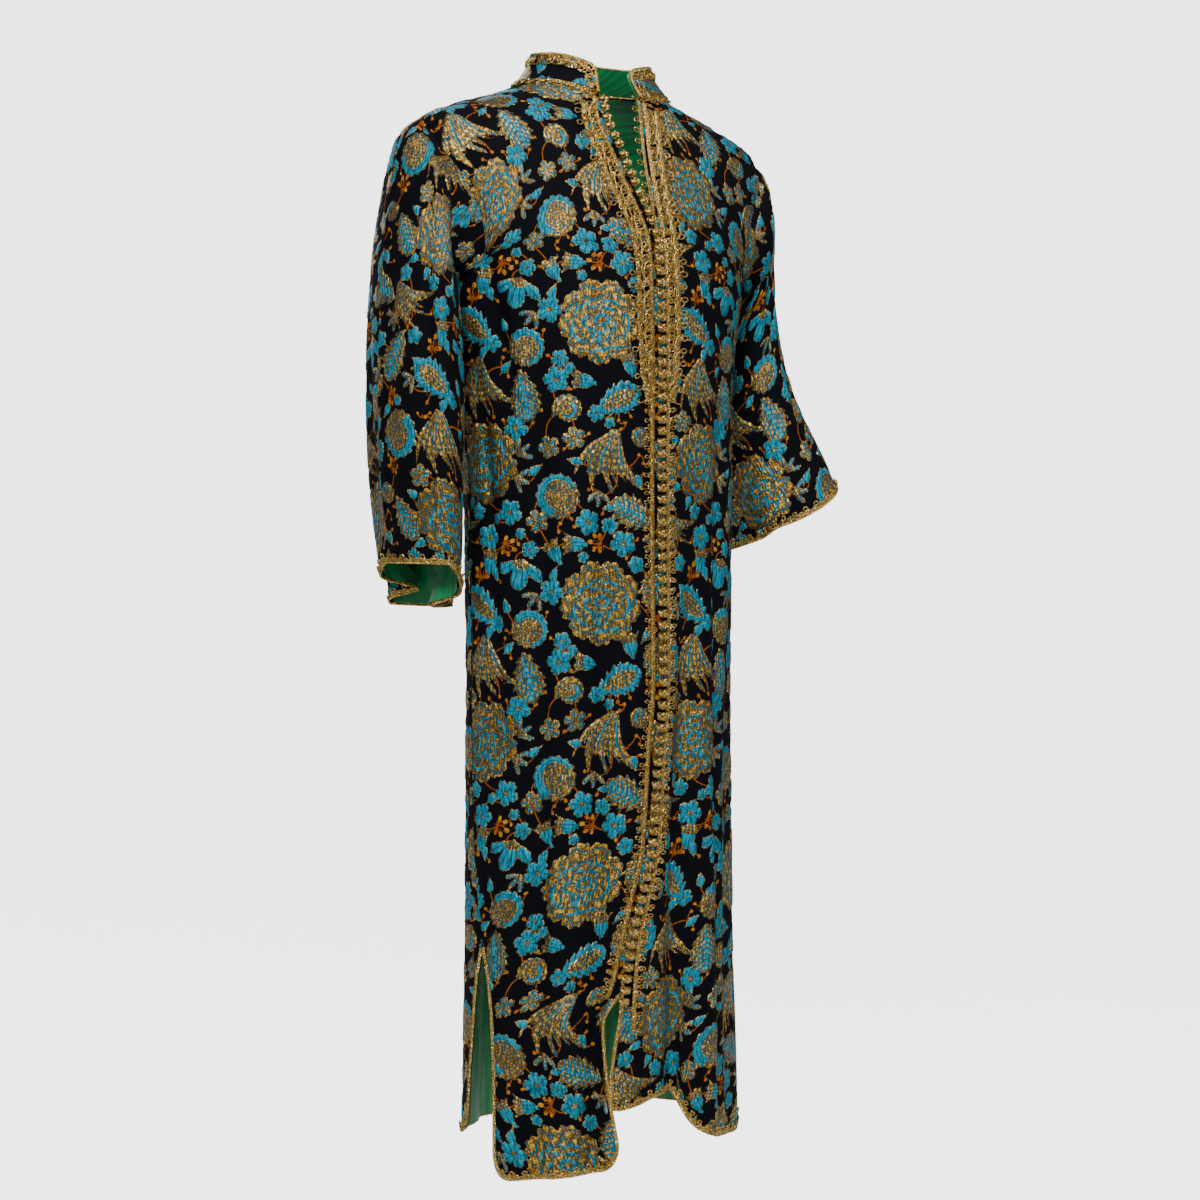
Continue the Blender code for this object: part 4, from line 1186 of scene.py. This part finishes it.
def sleeve_surface(side, step, first=0.0):
    table = RIGHT_SLEEVE if side < 0 else LEFT_SLEEVE
    count = int(round(SLEEVE_ROUND / step))
    around = np.linspace(90.0, -270.0, count, endpoint=False)
    length = 0.500 if side < 0 else 0.440
    rings = np.linspace(first, 9.0, int(round(length * (9.0 - first) / 9.0 / step)) + 1)
    points = sleeve_grid(side, table, rings, around)
    closed = np.concatenate([points, points[:, :1]], axis=1)
    outward = closed - closed.mean(axis=1, keepdims=True)
    normals = grid_normals(closed, outward)
    normals[:, 0] = normals[:, -1] = unit(normals[:, 0] + normals[:, -1])
    share = (rings / 9.0)[:, None]
    sunk = np.zeros((len(rings), count + 1))
    turn = np.append(around, -270.0)[None]
    for top, cuff, start, end, spread, depth in zip(*SLEEVE_CREASES.values()):
        middle = top + (cuff - top) * share
        away = (turn - middle + 180.0) % 360.0 - 180.0
        within = np.clip((share - start) / 0.12, 0, 1) * np.clip((end - share) / 0.12, 0, 1)
        sunk = sunk + depth * within * np.exp(-((away / spread) ** 2))
    return closed - normals * sunk[..., None], normals, rings


def tucked(side, rows, points):
    """Moves the left front's lower inner edge a little behind the right front."""
    if side < 0:
        return points
    low = np.clip((rows - 17.4) / 1.0, 0.0, 1.0)[:, None]
    near_edge = np.exp(-np.arange(points.shape[1]) / (points.shape[1] * 0.10))[None]
    moved = points.copy()
    moved[..., 1] += 0.006 * low * near_edge
    moved[..., 0] -= 0.008 * low * near_edge
    return moved


class KAFTAN_OT_fronts(bpy.types.Operator):
    """Make the two brocade fronts"""

    bl_idname = "kaftan.fronts"
    bl_label = "Fronts"

    def execute(self, context):
        for side in (-1, 1):
            rows, angles, heights = front_surface(side, sizes().brocade_step)
            points = tucked(side, rows, body(angles, heights))
            normals = body_normal(angles, heights)
            level = int(np.argmin(np.abs(rows - LEVEL_ROW)))
            across, along = flat_lengths(points, level)
            opening = np.abs(points[:, 0, 0] - points[level, 0, 0]) * (rows < ARMPIT_ROW)
            s = side * (across + opening[:, None])
            obj = cloth_piece("front_brocade_" + hand(side), points, normals, (s + 0.145, 0.30 - along))
            settle(obj, "brocade", "front_" + hand(side))
        return {"FINISHED"}


class KAFTAN_OT_back(bpy.types.Operator):
    """Make the brocade back"""

    bl_idname = "kaftan.back"
    bl_label = "Back"

    def execute(self, context):
        rows, left, right = back_surface(sizes().brocade_step * BACK_STEP_SHARE)
        pieces = []
        level = int(np.argmin(np.abs(rows - LEVEL_ROW)))
        for side, (angles, heights, _) in ((1, left), (-1, right)):
            points = body(angles, heights)
            normals = body_normal(angles, heights)
            across, along = flat_lengths(points, level)
            neck = np.abs(points[:, 0, 0] - points[level, 0, 0])
            s = -side * (across + neck[:, None])
            pieces.append((points, normals, s + 0.10, 0.27 - along))
        gathered = [np.concatenate([pieces[0][k][:, ::-1], pieces[1][k]], axis=1) for k in range(4)]
        obj = cloth_piece("back_brocade", gathered[0], gathered[1], (gathered[2], gathered[3]))
        columns = pieces[0][0].shape[1]
        open_neck(obj, rows, gathered[0].shape[1], columns)
        settle(obj, "brocade", "back")
        return {"FINISHED"}


def open_neck(obj, rows, width, columns):
    """Removes the faces that bridge the two halves of the back above the neck edge, and merges the rest."""
    shape = bmesh.new()
    shape.from_mesh(obj.data)
    shape.verts.ensure_lookup_table()
    between = {columns - 1, columns}
    bridged = [
        face for face in shape.faces
        if {vert.index % width for vert in face.verts} == between
        and rows[min(vert.index // width for vert in face.verts)] < COLLAR_END_ROW - 0.001
    ]
    bmesh.ops.delete(shape, geom=bridged, context="FACES")
    bmesh.ops.remove_doubles(shape, verts=shape.verts, dist=0.00001)
    shape.to_mesh(obj.data)
    shape.free()


class KAFTAN_OT_sleeves(bpy.types.Operator):
    """Make the two brocade sleeves"""

    bl_idname = "kaftan.sleeves"
    bl_label = "Sleeves"

    def execute(self, context):
        for side in (-1, 1):
            points, normals, rings = sleeve_surface(side, sizes().brocade_step)
            across, along = flat_lengths(points, len(rings) - 1)
            s = (across - across[:, :1]) * -side
            obj = cloth_piece("sleeve_brocade_" + hand(side), points, normals, (s + 0.11, -along + 0.05))
            settle(obj, "brocade", "sleeve_" + hand(side))
        return {"FINISHED"}


def collar_surface(step):
    """The collar's grid, raised from the neck edge, right front end to left front end."""
    neck_rows = np.linspace(0.0, COLLAR_END_ROW, 40)
    right = body(*[grid[:, 0] for grid in panel_grid("front", -1, neck_rows, np.array([0.0, 1.0]))[:2]])
    left = body(*[grid[:, 0] for grid in panel_grid("front", 1, neck_rows, np.array([0.0, 1.0]))[:2]])
    back_right = body(*[grid[:, 0] for grid in panel_grid("back", -1, neck_rows, np.array([0.0, 1.0]))[:2]])
    back_left = body(*[grid[:, 0] for grid in panel_grid("back", 1, neck_rows, np.array([0.0, 1.0]))[:2]])
    base = np.concatenate([right[::-1], back_right[1:], back_left[-2::-1], left[1:]])
    measure = np.concatenate([[0.0], np.cumsum(np.linalg.norm(np.diff(base, axis=0), axis=1))])
    even = np.linspace(0.0, measure[-1], int(round(measure[-1] / step)) + 1)
    seam = np.stack([np.interp(even, measure, base[:, axis]) for axis in range(3)], axis=-1)
    spread = seam - np.array([0.0, 0.002, 0.0])
    spread[:, 2] = 0.0
    outward = unit(spread)
    levels = np.linspace(0.0, 1.0, int(round(COLLAR_HEIGHT / step)) + 1)
    flare = 0.005
    end_round = np.clip(np.minimum(even, measure[-1] - even) / 0.008, 0.0, 1.0)
    points = []
    for level in levels:
        ring = seam - outward * (COLLAR_LEAN * level - flare * (1.0 - level) ** 3)
        ring[:, 2] += COLLAR_RISE + COLLAR_HEIGHT * level - 0.004 * level * (1.0 - end_round) ** 2
        points.append(ring)
    points = np.array(points)
    normals = np.repeat(unit(outward + np.array([0.0, 0.0, 0.35]))[None], len(levels), axis=0)
    return points, normals, even, outward


class KAFTAN_OT_collar(bpy.types.Operator):
    """Make the stand collar and its facing"""

    bl_idname = "kaftan.collar"
    bl_label = "Collar"

    def execute(self, context):
        points, normals, even, _ = collar_surface(COLLAR_STEP)
        across, along = flat_lengths(points, 0)
        obj = cloth_piece("collar_brocade", points, normals, (across + 0.03, along + 0.19))
        settle(obj, "brocade", "collar")
        inner = lining_piece("collar_facing", points, normals, (across, along))
        settle(inner, "lining_satin", "collar_facing")
        return {"FINISHED"}


def lining_piece(name, points, normals, flat, sunk=None):
    """One satin sheet a little inside the outer cloth, facing inward."""
    rows, columns = points.shape[:2]
    inset = sizes().lining_inset
    ease = 0.0006 * soft_noise(flat[0] / 0.03, flat[1] / 0.12, 21) if sunk is None else sunk
    moved = (points - normals * (inset + ease)[..., None]).reshape(-1, 3)
    faces = face_outward(moved, -normals.reshape(-1, 3), grid_faces(rows, columns))
    obj = build_mesh(name, moved, faces, np.stack(flat, axis=-1).reshape(-1, 2))
    obj.data.materials.append(lining_material())
    return obj


class KAFTAN_OT_lining(bpy.types.Operator):
    """Make the green satin lining"""

    bl_idname = "kaftan.lining"
    bl_label = "Lining"

    def execute(self, context):
        step = sizes().lining_step
        for side in (-1, 1):
            rows, angles, heights = front_surface(side, step)
            points = tucked(side, rows, body(angles, heights))
            normals = body_normal(angles, heights)
            across, along = flat_lengths(points, 0)
            obj = lining_piece("lining_front_" + hand(side), points, normals, (across, along))
            settle(obj, "lining_satin", "lining_front_" + hand(side))
            points, normals, _ = sleeve_surface(side, step)
            across, along = flat_lengths(points, 0)
            obj = lining_piece("lining_sleeve_" + hand(side), points, normals, (across, along))
            settle(obj, "lining_satin", "lining_sleeve_" + hand(side))
        rows, left, right = back_surface(step)
        halves = []
        for angles, heights, _ in (left, right):
            points = body(angles, heights)
            across, along = flat_lengths(points, 0)
            halves.append((points, body_normal(angles, heights), across, along))
        gathered = [np.concatenate([halves[0][k][:, ::-1], halves[1][k]], axis=1) for k in range(4)]
        obj = lining_piece("lining_back", gathered[0], gathered[1], (gathered[2], gathered[3]))
        open_neck(obj, rows, gathered[0].shape[1], halves[0][0].shape[1])
        settle(obj, "lining_satin", "lining_back")
        return {"FINISHED"}


def line_on_front(side, rows, distance):
    """Points, across directions and normals of a line down a front, a distance from its inner edge."""
    distance = np.broadcast_to(np.asarray(distance, float), rows.shape)
    shares = np.linspace(0.0, 1.0, 60)
    angles, heights, widths = panel_grid("front", side, rows, shares)
    share = distance / widths
    angle = np.array([np.interp(share[k], shares, angles[k]) for k in range(len(rows))])
    height = np.array([np.interp(share[k], shares, heights[k]) for k in range(len(rows))])
    points = body(angle, height)
    normals = body_normal(angle, height)
    ahead = np.gradient(points, axis=0)
    return points, unit(np.cross(ahead, normals)), normals


def track_on_front(side, first, last, distance, outward=1.0):
    rows = np.linspace(first, last, 160)
    points, across, normals = line_on_front(
        side, rows, distance if np.isscalar(distance) else np.interp(rows, *distance)
    )
    return Track(points, across * outward, normals)


class KAFTAN_OT_placket_braid(bpy.types.Operator):
    """Make the braid beside the buttons and the lace on the chest"""

    bl_idname = "kaftan.placket_braid"
    bl_label = "Placket and chest braid"

    def execute(self, context):
        cord = sizes().cord_radius
        pitch = sizes().loop_pitch
        for side in (-1, 1):
            track = track_on_front(side, COLLAR_END_ROW + 0.02, FRONT_SLIT_ROW + 0.25, 0.0106)
            away = -float(side)
            strands = plait_strands(track, 0.0020, 0.0095, cord * 1.05, 0.0018)
            strands.append(looped_strand(track, away * 0.0044, pitch, cord * 0.85, away * 0.0060))
            strands.append(
                looped_strand(track, away * 0.0030, pitch * 1.35, cord * 0.85, away * 0.0036, 0.0024, 1.3)
            )
            obj = cord_piece("placket_braid_" + hand(side), strands, 4)
            settle(obj, "gold_braid", "placket_braid_" + hand(side))
            places = (
                (COLLAR_END_ROW, 4.5, 6, 7, CHEST_BRAID_END_ROW - 0.3, CHEST_BRAID_END_ROW + 0.15),
                CHEST_BRAID_PLACES
            )
            track = track_on_front(side, COLLAR_END_ROW + 0.02, CHEST_BRAID_END_ROW + 0.15, places)
            strands = plait_strands(track, 0.0024, 0.0100, cord * 1.05, 0.0020)
            strands.append(looped_strand(track, away * 0.0058, pitch * 1.4, cord, away * 0.0068, phase=0.7))
            strands.append(
                looped_strand(track, away * -0.0072, pitch * 1.4, cord, away * -0.0080, phase=2.2)
            )
            strands.append(
                looped_strand(track, away * -0.0050, pitch * 1.8, cord, away * -0.0108, 0.0026, phase=4.0)
            )
            strands.append(looped_strand(track, away * 0.0052, pitch * 1.9, cord, 0.0, 0.0034, phase=5.2))
            obj = cord_piece("chest_braid_" + hand(side), strands, 4)
            settle(obj, "gold_braid", "chest_braid_" + hand(side))
        return {"FINISHED"}


def knots_along(track, places, radius, lift, offset=0.0):
    """Closed cords of a row of knot buttons."""
    strands = []
    for place in places:
        here = np.array([place - 0.002, place, place + 0.002])
        spots = track.at(here, np.full(3, offset), np.full(3, lift))
        raised = track.at(here, np.full(3, offset), np.full(3, lift + 0.01))
        ahead = unit(spots[2] - spots[0])
        up = unit(raised[1] - spots[1])
        across = np.cross(up, ahead)
        strands.append((knot_path(spots[1], ahead, across, up, radius), radius * 0.25, True))
    return strands


class KAFTAN_OT_buttons(bpy.types.Operator):
    """Make the knot buttons and the neck's knots and loops"""

    bl_idname = "kaftan.buttons"
    bl_label = "Knot buttons"

    def execute(self, context):
        rows = np.linspace(ARMPIT_ROW - 0.05, FRONT_SLIT_ROW + 0.05, 200)
        right = line_on_front(-1, rows, 0.0)
        left = line_on_front(1, rows, 0.0)
        track = Track((right[0] + left[0]) / 2, right[1], (right[2] + left[2]) / 2)
        count = int(round(track.length / sizes().button_pitch))
        places = (np.arange(count) + 0.5) * track.length / count
        knots = knots_along(track, places, sizes().knot_radius, 0.0080)
        cord = sizes().cord_radius
        obj = cord_piece("front_knots", knots, 5)
        settle(obj, "knot_cord", "front_buttons")
        track = track_on_front(-1, COLLAR_END_ROW + 0.10, ARMPIT_ROW - 0.05, 0.0015)
        pairs = np.arange(0.012, track.length, 0.0250)
        places = np.sort(np.concatenate([pairs - 0.0056, pairs + 0.0056]))
        obj = cord_piece("neck_knots", knots_along(track, places, 0.0078, 0.0052, -0.0040), 5)
        settle(obj, "knot_cord", "neck_buttons")
        track = track_on_front(1, COLLAR_END_ROW + 0.10, ARMPIT_ROW - 0.05, 0.0015)
        loops = plait_strands(track, 0.0012, 0.0075, cord, 0.0018, 0.0)
        loops.append(looped_strand(track, 0.0052, 0.0150, cord, 0.0052, 0.0012))
        obj = cord_piece("neck_loops", loops, 5)
        settle(obj, "gold_braid", "neck_loops")
        return {"FINISHED"}


def edge_track(points, normals, inward, reach):
    """A track just beyond a free edge, in the plane of the cloth."""
    ahead = np.gradient(points, axis=0)
    away = unit(np.cross(ahead, normals))
    away = away * np.sign((away * -inward).sum(axis=-1, keepdims=True))
    return Track(points + away * reach, away, normals)


def smooth_path(path, passes=4):
    for _ in range(passes):
        path[1:-1] = (path[:-2] + 2 * path[1:-1] + path[2:]) / 4
    return path


class KAFTAN_OT_edge_braid(bpy.types.Operator):
    """Make the twisted braid on hems, slits and cuffs"""

    bl_idname = "kaftan.edge_braid"
    bl_label = "Edge braid"

    def edging(self, name, track, looped=None):
        width = sizes().plait_width
        strands = plait_strands(track, width, sizes().plait_pitch, width * 0.72, 0.0008, 0.0)
        if looped:
            strands.append(looped_strand(looped, -0.0030, 0.0150, sizes().cord_radius, -0.0058, 0.0016))
            strands.append(
                looped_strand(looped, -0.0018, 0.0090, sizes().cord_radius, -0.0030, 0.0010, 1.0)
            )
        return settle(cord_piece(name, strands, 4), "gold_braid", name)

    def execute(self, context):
        for side in (-1, 1):
            rows, angles, heights = front_surface(side, 0.005)
            points = tucked(side, rows, body(angles, heights))
            normals = body_normal(angles, heights)
            first = int(np.searchsorted(rows, FRONT_SLIT_ROW + 0.12))
            second = int(np.searchsorted(rows, SIDE_SLIT_ROW + 0.10))
            last = len(rows) - 1
            cells = [(row, 0) for row in range(first, last)]
            cells += [(last, column) for column in range(points.shape[1])]
            cells += [(row, points.shape[1] - 1) for row in range(last - 1, second, -1)]
            path = smooth_path(np.array([points[cell] for cell in cells]))
            facing = np.array([normals[cell] for cell in cells])
            inward = points[last - 30, points.shape[1] // 2] - path
            track = edge_track(path, facing, inward, 0.0010)
            low = slice(last - first, last - first + points.shape[1])
            looped = edge_track(path[low], facing[low], inward[low], 0.0010)
            self.edging("hem_braid_" + hand(side), track, looped)
            points, normals, _ = sleeve_surface(side, 0.004)
            track = edge_track(points[-1], normals[-1], points[-8] - points[-1], 0.0010)
            self.edging("cuff_braid_" + hand(side), track, track)
        rows, left, right = back_surface(0.005)
        first = int(np.searchsorted(rows, SIDE_SLIT_ROW + 0.10))
        path, facing = [], []
        for (angles, heights, _), order in ((left, -1), (right, 1)):
            points = body(angles, heights)
            normals = body_normal(angles, heights)
            last = len(rows) - 1
            cells = [(last, column) for column in range(0 if order < 0 else 1, points.shape[1])]
            cells += [(row, points.shape[1] - 1) for row in range(last - 1, first, -1)]
            path += [points[cell] for cell in cells[::order]]
            facing += [normals[cell] for cell in cells[::order]]
        path = smooth_path(np.array(path))
        inward = np.array([0.0, 0.08, -1.0]) - path
        inward[:, 2] = 0.2
        track = edge_track(path, np.array(facing), inward, 0.0010)
        low = slice(last - first, len(path) - (last - first))
        looped = edge_track(path[low], np.array(facing)[low], inward[low], 0.0010)
        self.edging("hem_braid_back", track, looped)
        return {"FINISHED"}


def neck_line(distance):
    """Points and normals on the body at a distance outside the neck edge, right end to left end."""
    rows = np.linspace(0.0, COLLAR_END_ROW, 40)
    parts = []
    for panel, side, order in (("front", -1, -1), ("back", -1, 1), ("back", 1, -1), ("front", 1, 1)):
        shares = np.linspace(0.0, 1.0, 60)
        angles, heights, widths = panel_grid(panel, side, rows, shares)
        share = np.clip(distance / widths, 0.0, 1.0)
        angle = np.array([np.interp(share[k], shares, angles[k]) for k in range(len(rows))])
        height = np.array([np.interp(share[k], shares, heights[k]) for k in range(len(rows))])
        parts.append((body(angle, height)[::order], body_normal(angle, height)[::order]))
    return [np.concatenate(
        [part[k][1 if index else 0 :] for index, part in enumerate(parts)]
    ) for k in (0, 1)]


class KAFTAN_OT_neck_braid(bpy.types.Operator):
    """Make the braid round the collar and along the neck seam"""

    bl_idname = "kaftan.neck_braid"
    bl_label = "Collar and neck braid"

    def execute(self, context):
        cord = sizes().cord_radius
        points, normals, _, _ = collar_surface(COLLAR_EDGE_STEP)
        edge = list(points[:-1, 0]) + list(points[-1]) + list(points[-2::-1, -1])
        facing = list(normals[:-1, 0]) + list(normals[-1]) + list(normals[-2::-1, -1])
        inward = list(points[:-1, 5] - points[:-1, 0]) + list(points[0] - points[-1]) + list(
            points[-2::-1, -6] - points[-2::-1, -1]
        )
        edge = smooth_path(np.array(edge), 3)
        track = edge_track(edge, np.array(facing), np.array(inward), -0.0012)
        strands = plait_strands(track, 0.0016, 0.0080, 0.0012, 0.0012)
        strands.append(looped_strand(track, -0.0046, 0.0120, cord, -0.0052, 0.0006, 0.5))
        strands.append(looped_strand(track, -0.0044, 0.0135, cord, -0.0092, 0.0014, 2.0))
        strands.append(looped_strand(track, 0.0040, 0.0160, cord, -0.0100, 0.0024, 3.4))
        obj = cord_piece("collar_braid", strands, 4)
        settle(obj, "gold_braid", "collar_braid")
        near, near_normals = neck_line(0.001)
        far, _ = neck_line(0.013)
        keep = np.linalg.norm(np.gradient(near, axis=0), axis=1) > 1e-6
        track = Track(near[keep], (far - near)[keep], near_normals[keep])
        strands = plait_strands(track, 0.0018, 0.0090, 0.0012, 0.0018, 0.0012)
        strands += plait_strands(track, 0.0016, 0.0095, 0.0011, 0.0018, 0.0066)
        strands.append(looped_strand(track, 0.0048, 0.0135, cord, 0.0104, 0.0008, 0.4))
        strands.append(looped_strand(track, 0.0042, 0.0150, cord, 0.0046, 0.0022, 1.4))
        obj = cord_piece("neck_seam_braid", strands, 4)
        settle(obj, "gold_braid", "neck_seam_braid")
        return {"FINISHED"}


CAMERA_AZIMUTH = -30.0
CAMERA_DISTANCE = 3.2
CAMERA_HEIGHT = -0.556
FOCAL_LENGTH = 79.35
FRAME_SHIFT = (0.010, -0.0417)
FLOOR_Z = -1.62


class KAFTAN_OT_stage(bpy.types.Operator):
    """Make the pale floor, the soft lights and the camera"""

    bl_idname = "kaftan.stage"
    bl_label = "Stage"

    def execute(self, context):
        bend = np.radians(np.linspace(0.0, 90.0, 13))
        profile = [(-9.0, FLOOR_Z)] + [(
            3.0 + 2.0 * np.sin(turn), FLOOR_Z + 2.0 - 2.0 * np.cos(turn)
        ) for turn in bend] + [(5.0, 7.0)]
        points = np.array([(x, y, z) for y, z in profile for x in (-9.0, 9.0)])
        floor = build_mesh("pale_floor", points, grid_faces(len(profile), 2))
        made, w, shader = plain_material("Pale floor")
        shader.inputs["Base Color"].default_value = (0.80, 0.80, 0.80, 1.0)
        shader.inputs["Roughness"].default_value = 1.0
        seen = w.node("ShaderNodeLightPath").outputs["Is Camera Ray"]
        w.feed(shader.inputs["Emission Color"], w.mix(seen, (0.0, 0.0, 0.0, 1.0), (1.0, 1.0, 1.0, 1.0)))
        shader.inputs["Emission Strength"].default_value = 3.2
        floor.data.materials.append(made)
        world = bpy.data.worlds.new("Pale room")
        world.use_nodes = True
        world.node_tree.nodes["Background"].inputs["Color"].default_value = (0.93, 0.96, 1.0, 1.0)
        world.node_tree.nodes["Background"].inputs["Strength"].default_value = 0.16
        context.scene.world = world
        aim = np.array([0.0, 0.0, -0.6])
        for name, place, size, power in (
            ("key", (-2.2, -2.8, 1.5), 0.8, 125.0),
            ("fill", (2.8, -2.4, 0.6), 1.4, 20.0),
            ("top", (-0.2, -0.9, 2.2), 1.2, 42.0),
            ("back", (0.5, 2.8, 0.8), 1.8, 40.0),
        ):
            lamp = bpy.data.lights.new(name + " light", "AREA")
            lamp.size = size
            lamp.energy = power
            lit = bpy.data.objects.new(name + " light", lamp)
            lit.location = place
            lit.rotation_euler = look_along(aim - np.array(place))
            context.scene.collection.objects.link(lit)
        turn = np.radians(CAMERA_AZIMUTH)
        eye = np.array([np.sin(turn) * CAMERA_DISTANCE, -np.cos(turn) * CAMERA_DISTANCE, CAMERA_HEIGHT])
        lens = bpy.data.cameras.new("camera")
        lens.lens = FOCAL_LENGTH
        lens.shift_x, lens.shift_y = FRAME_SHIFT
        camera = bpy.data.objects.new("camera", lens)
        camera.location = eye
        camera.rotation_euler = look_along(np.array([0.0, 0.0, CAMERA_HEIGHT]) - eye)
        context.scene.collection.objects.link(camera)
        context.scene.camera = camera
        return {"FINISHED"}


def look_along(direction):
    return Vector(direction).to_track_quat("-Z", "Y").to_euler()


class KAFTAN_PT_sidebar(bpy.types.Panel):
    """Lists the kaftan's pieces"""

    bl_idname = "KAFTAN_PT_sidebar"
    bl_label = "Moroccan Kaftan"
    bl_space_type = "VIEW_3D"
    bl_region_type = "UI"
    bl_category = "Kaftan"

    def draw(self, context):
        for group in (context.scene.kaftan_sizes, context.scene.kaftan_colours):
            for name in group.bl_rna.properties.keys():
                if name not in ("rna_type", "name"):
                    self.layout.prop(group, name)
        for operator in OPERATORS:
            self.layout.operator(operator.bl_idname)


OPERATORS = (
    KAFTAN_OT_fronts, KAFTAN_OT_back, KAFTAN_OT_sleeves, KAFTAN_OT_collar, KAFTAN_OT_lining,
    KAFTAN_OT_placket_braid, KAFTAN_OT_buttons, KAFTAN_OT_edge_braid, KAFTAN_OT_neck_braid, KAFTAN_OT_stage,
)
CLASSES = (KaftanSizes, KaftanColours) + OPERATORS + (KAFTAN_PT_sidebar,)


def register():
    for item in CLASSES:
        bpy.utils.register_class(item)
    bpy.types.Scene.kaftan_sizes = bpy.props.PointerProperty(type=KaftanSizes)
    bpy.types.Scene.kaftan_colours = bpy.props.PointerProperty(type=KaftanColours)


def unregister():
    del bpy.types.Scene.kaftan_sizes
    del bpy.types.Scene.kaftan_colours
    for item in reversed(CLASSES):
        bpy.utils.unregister_class(item)


def main():
    register()
    for operator in OPERATORS:
        family, name = operator.bl_idname.split(".")
        getattr(getattr(bpy.ops, family), name)()


if __name__ == "__main__":
    main()
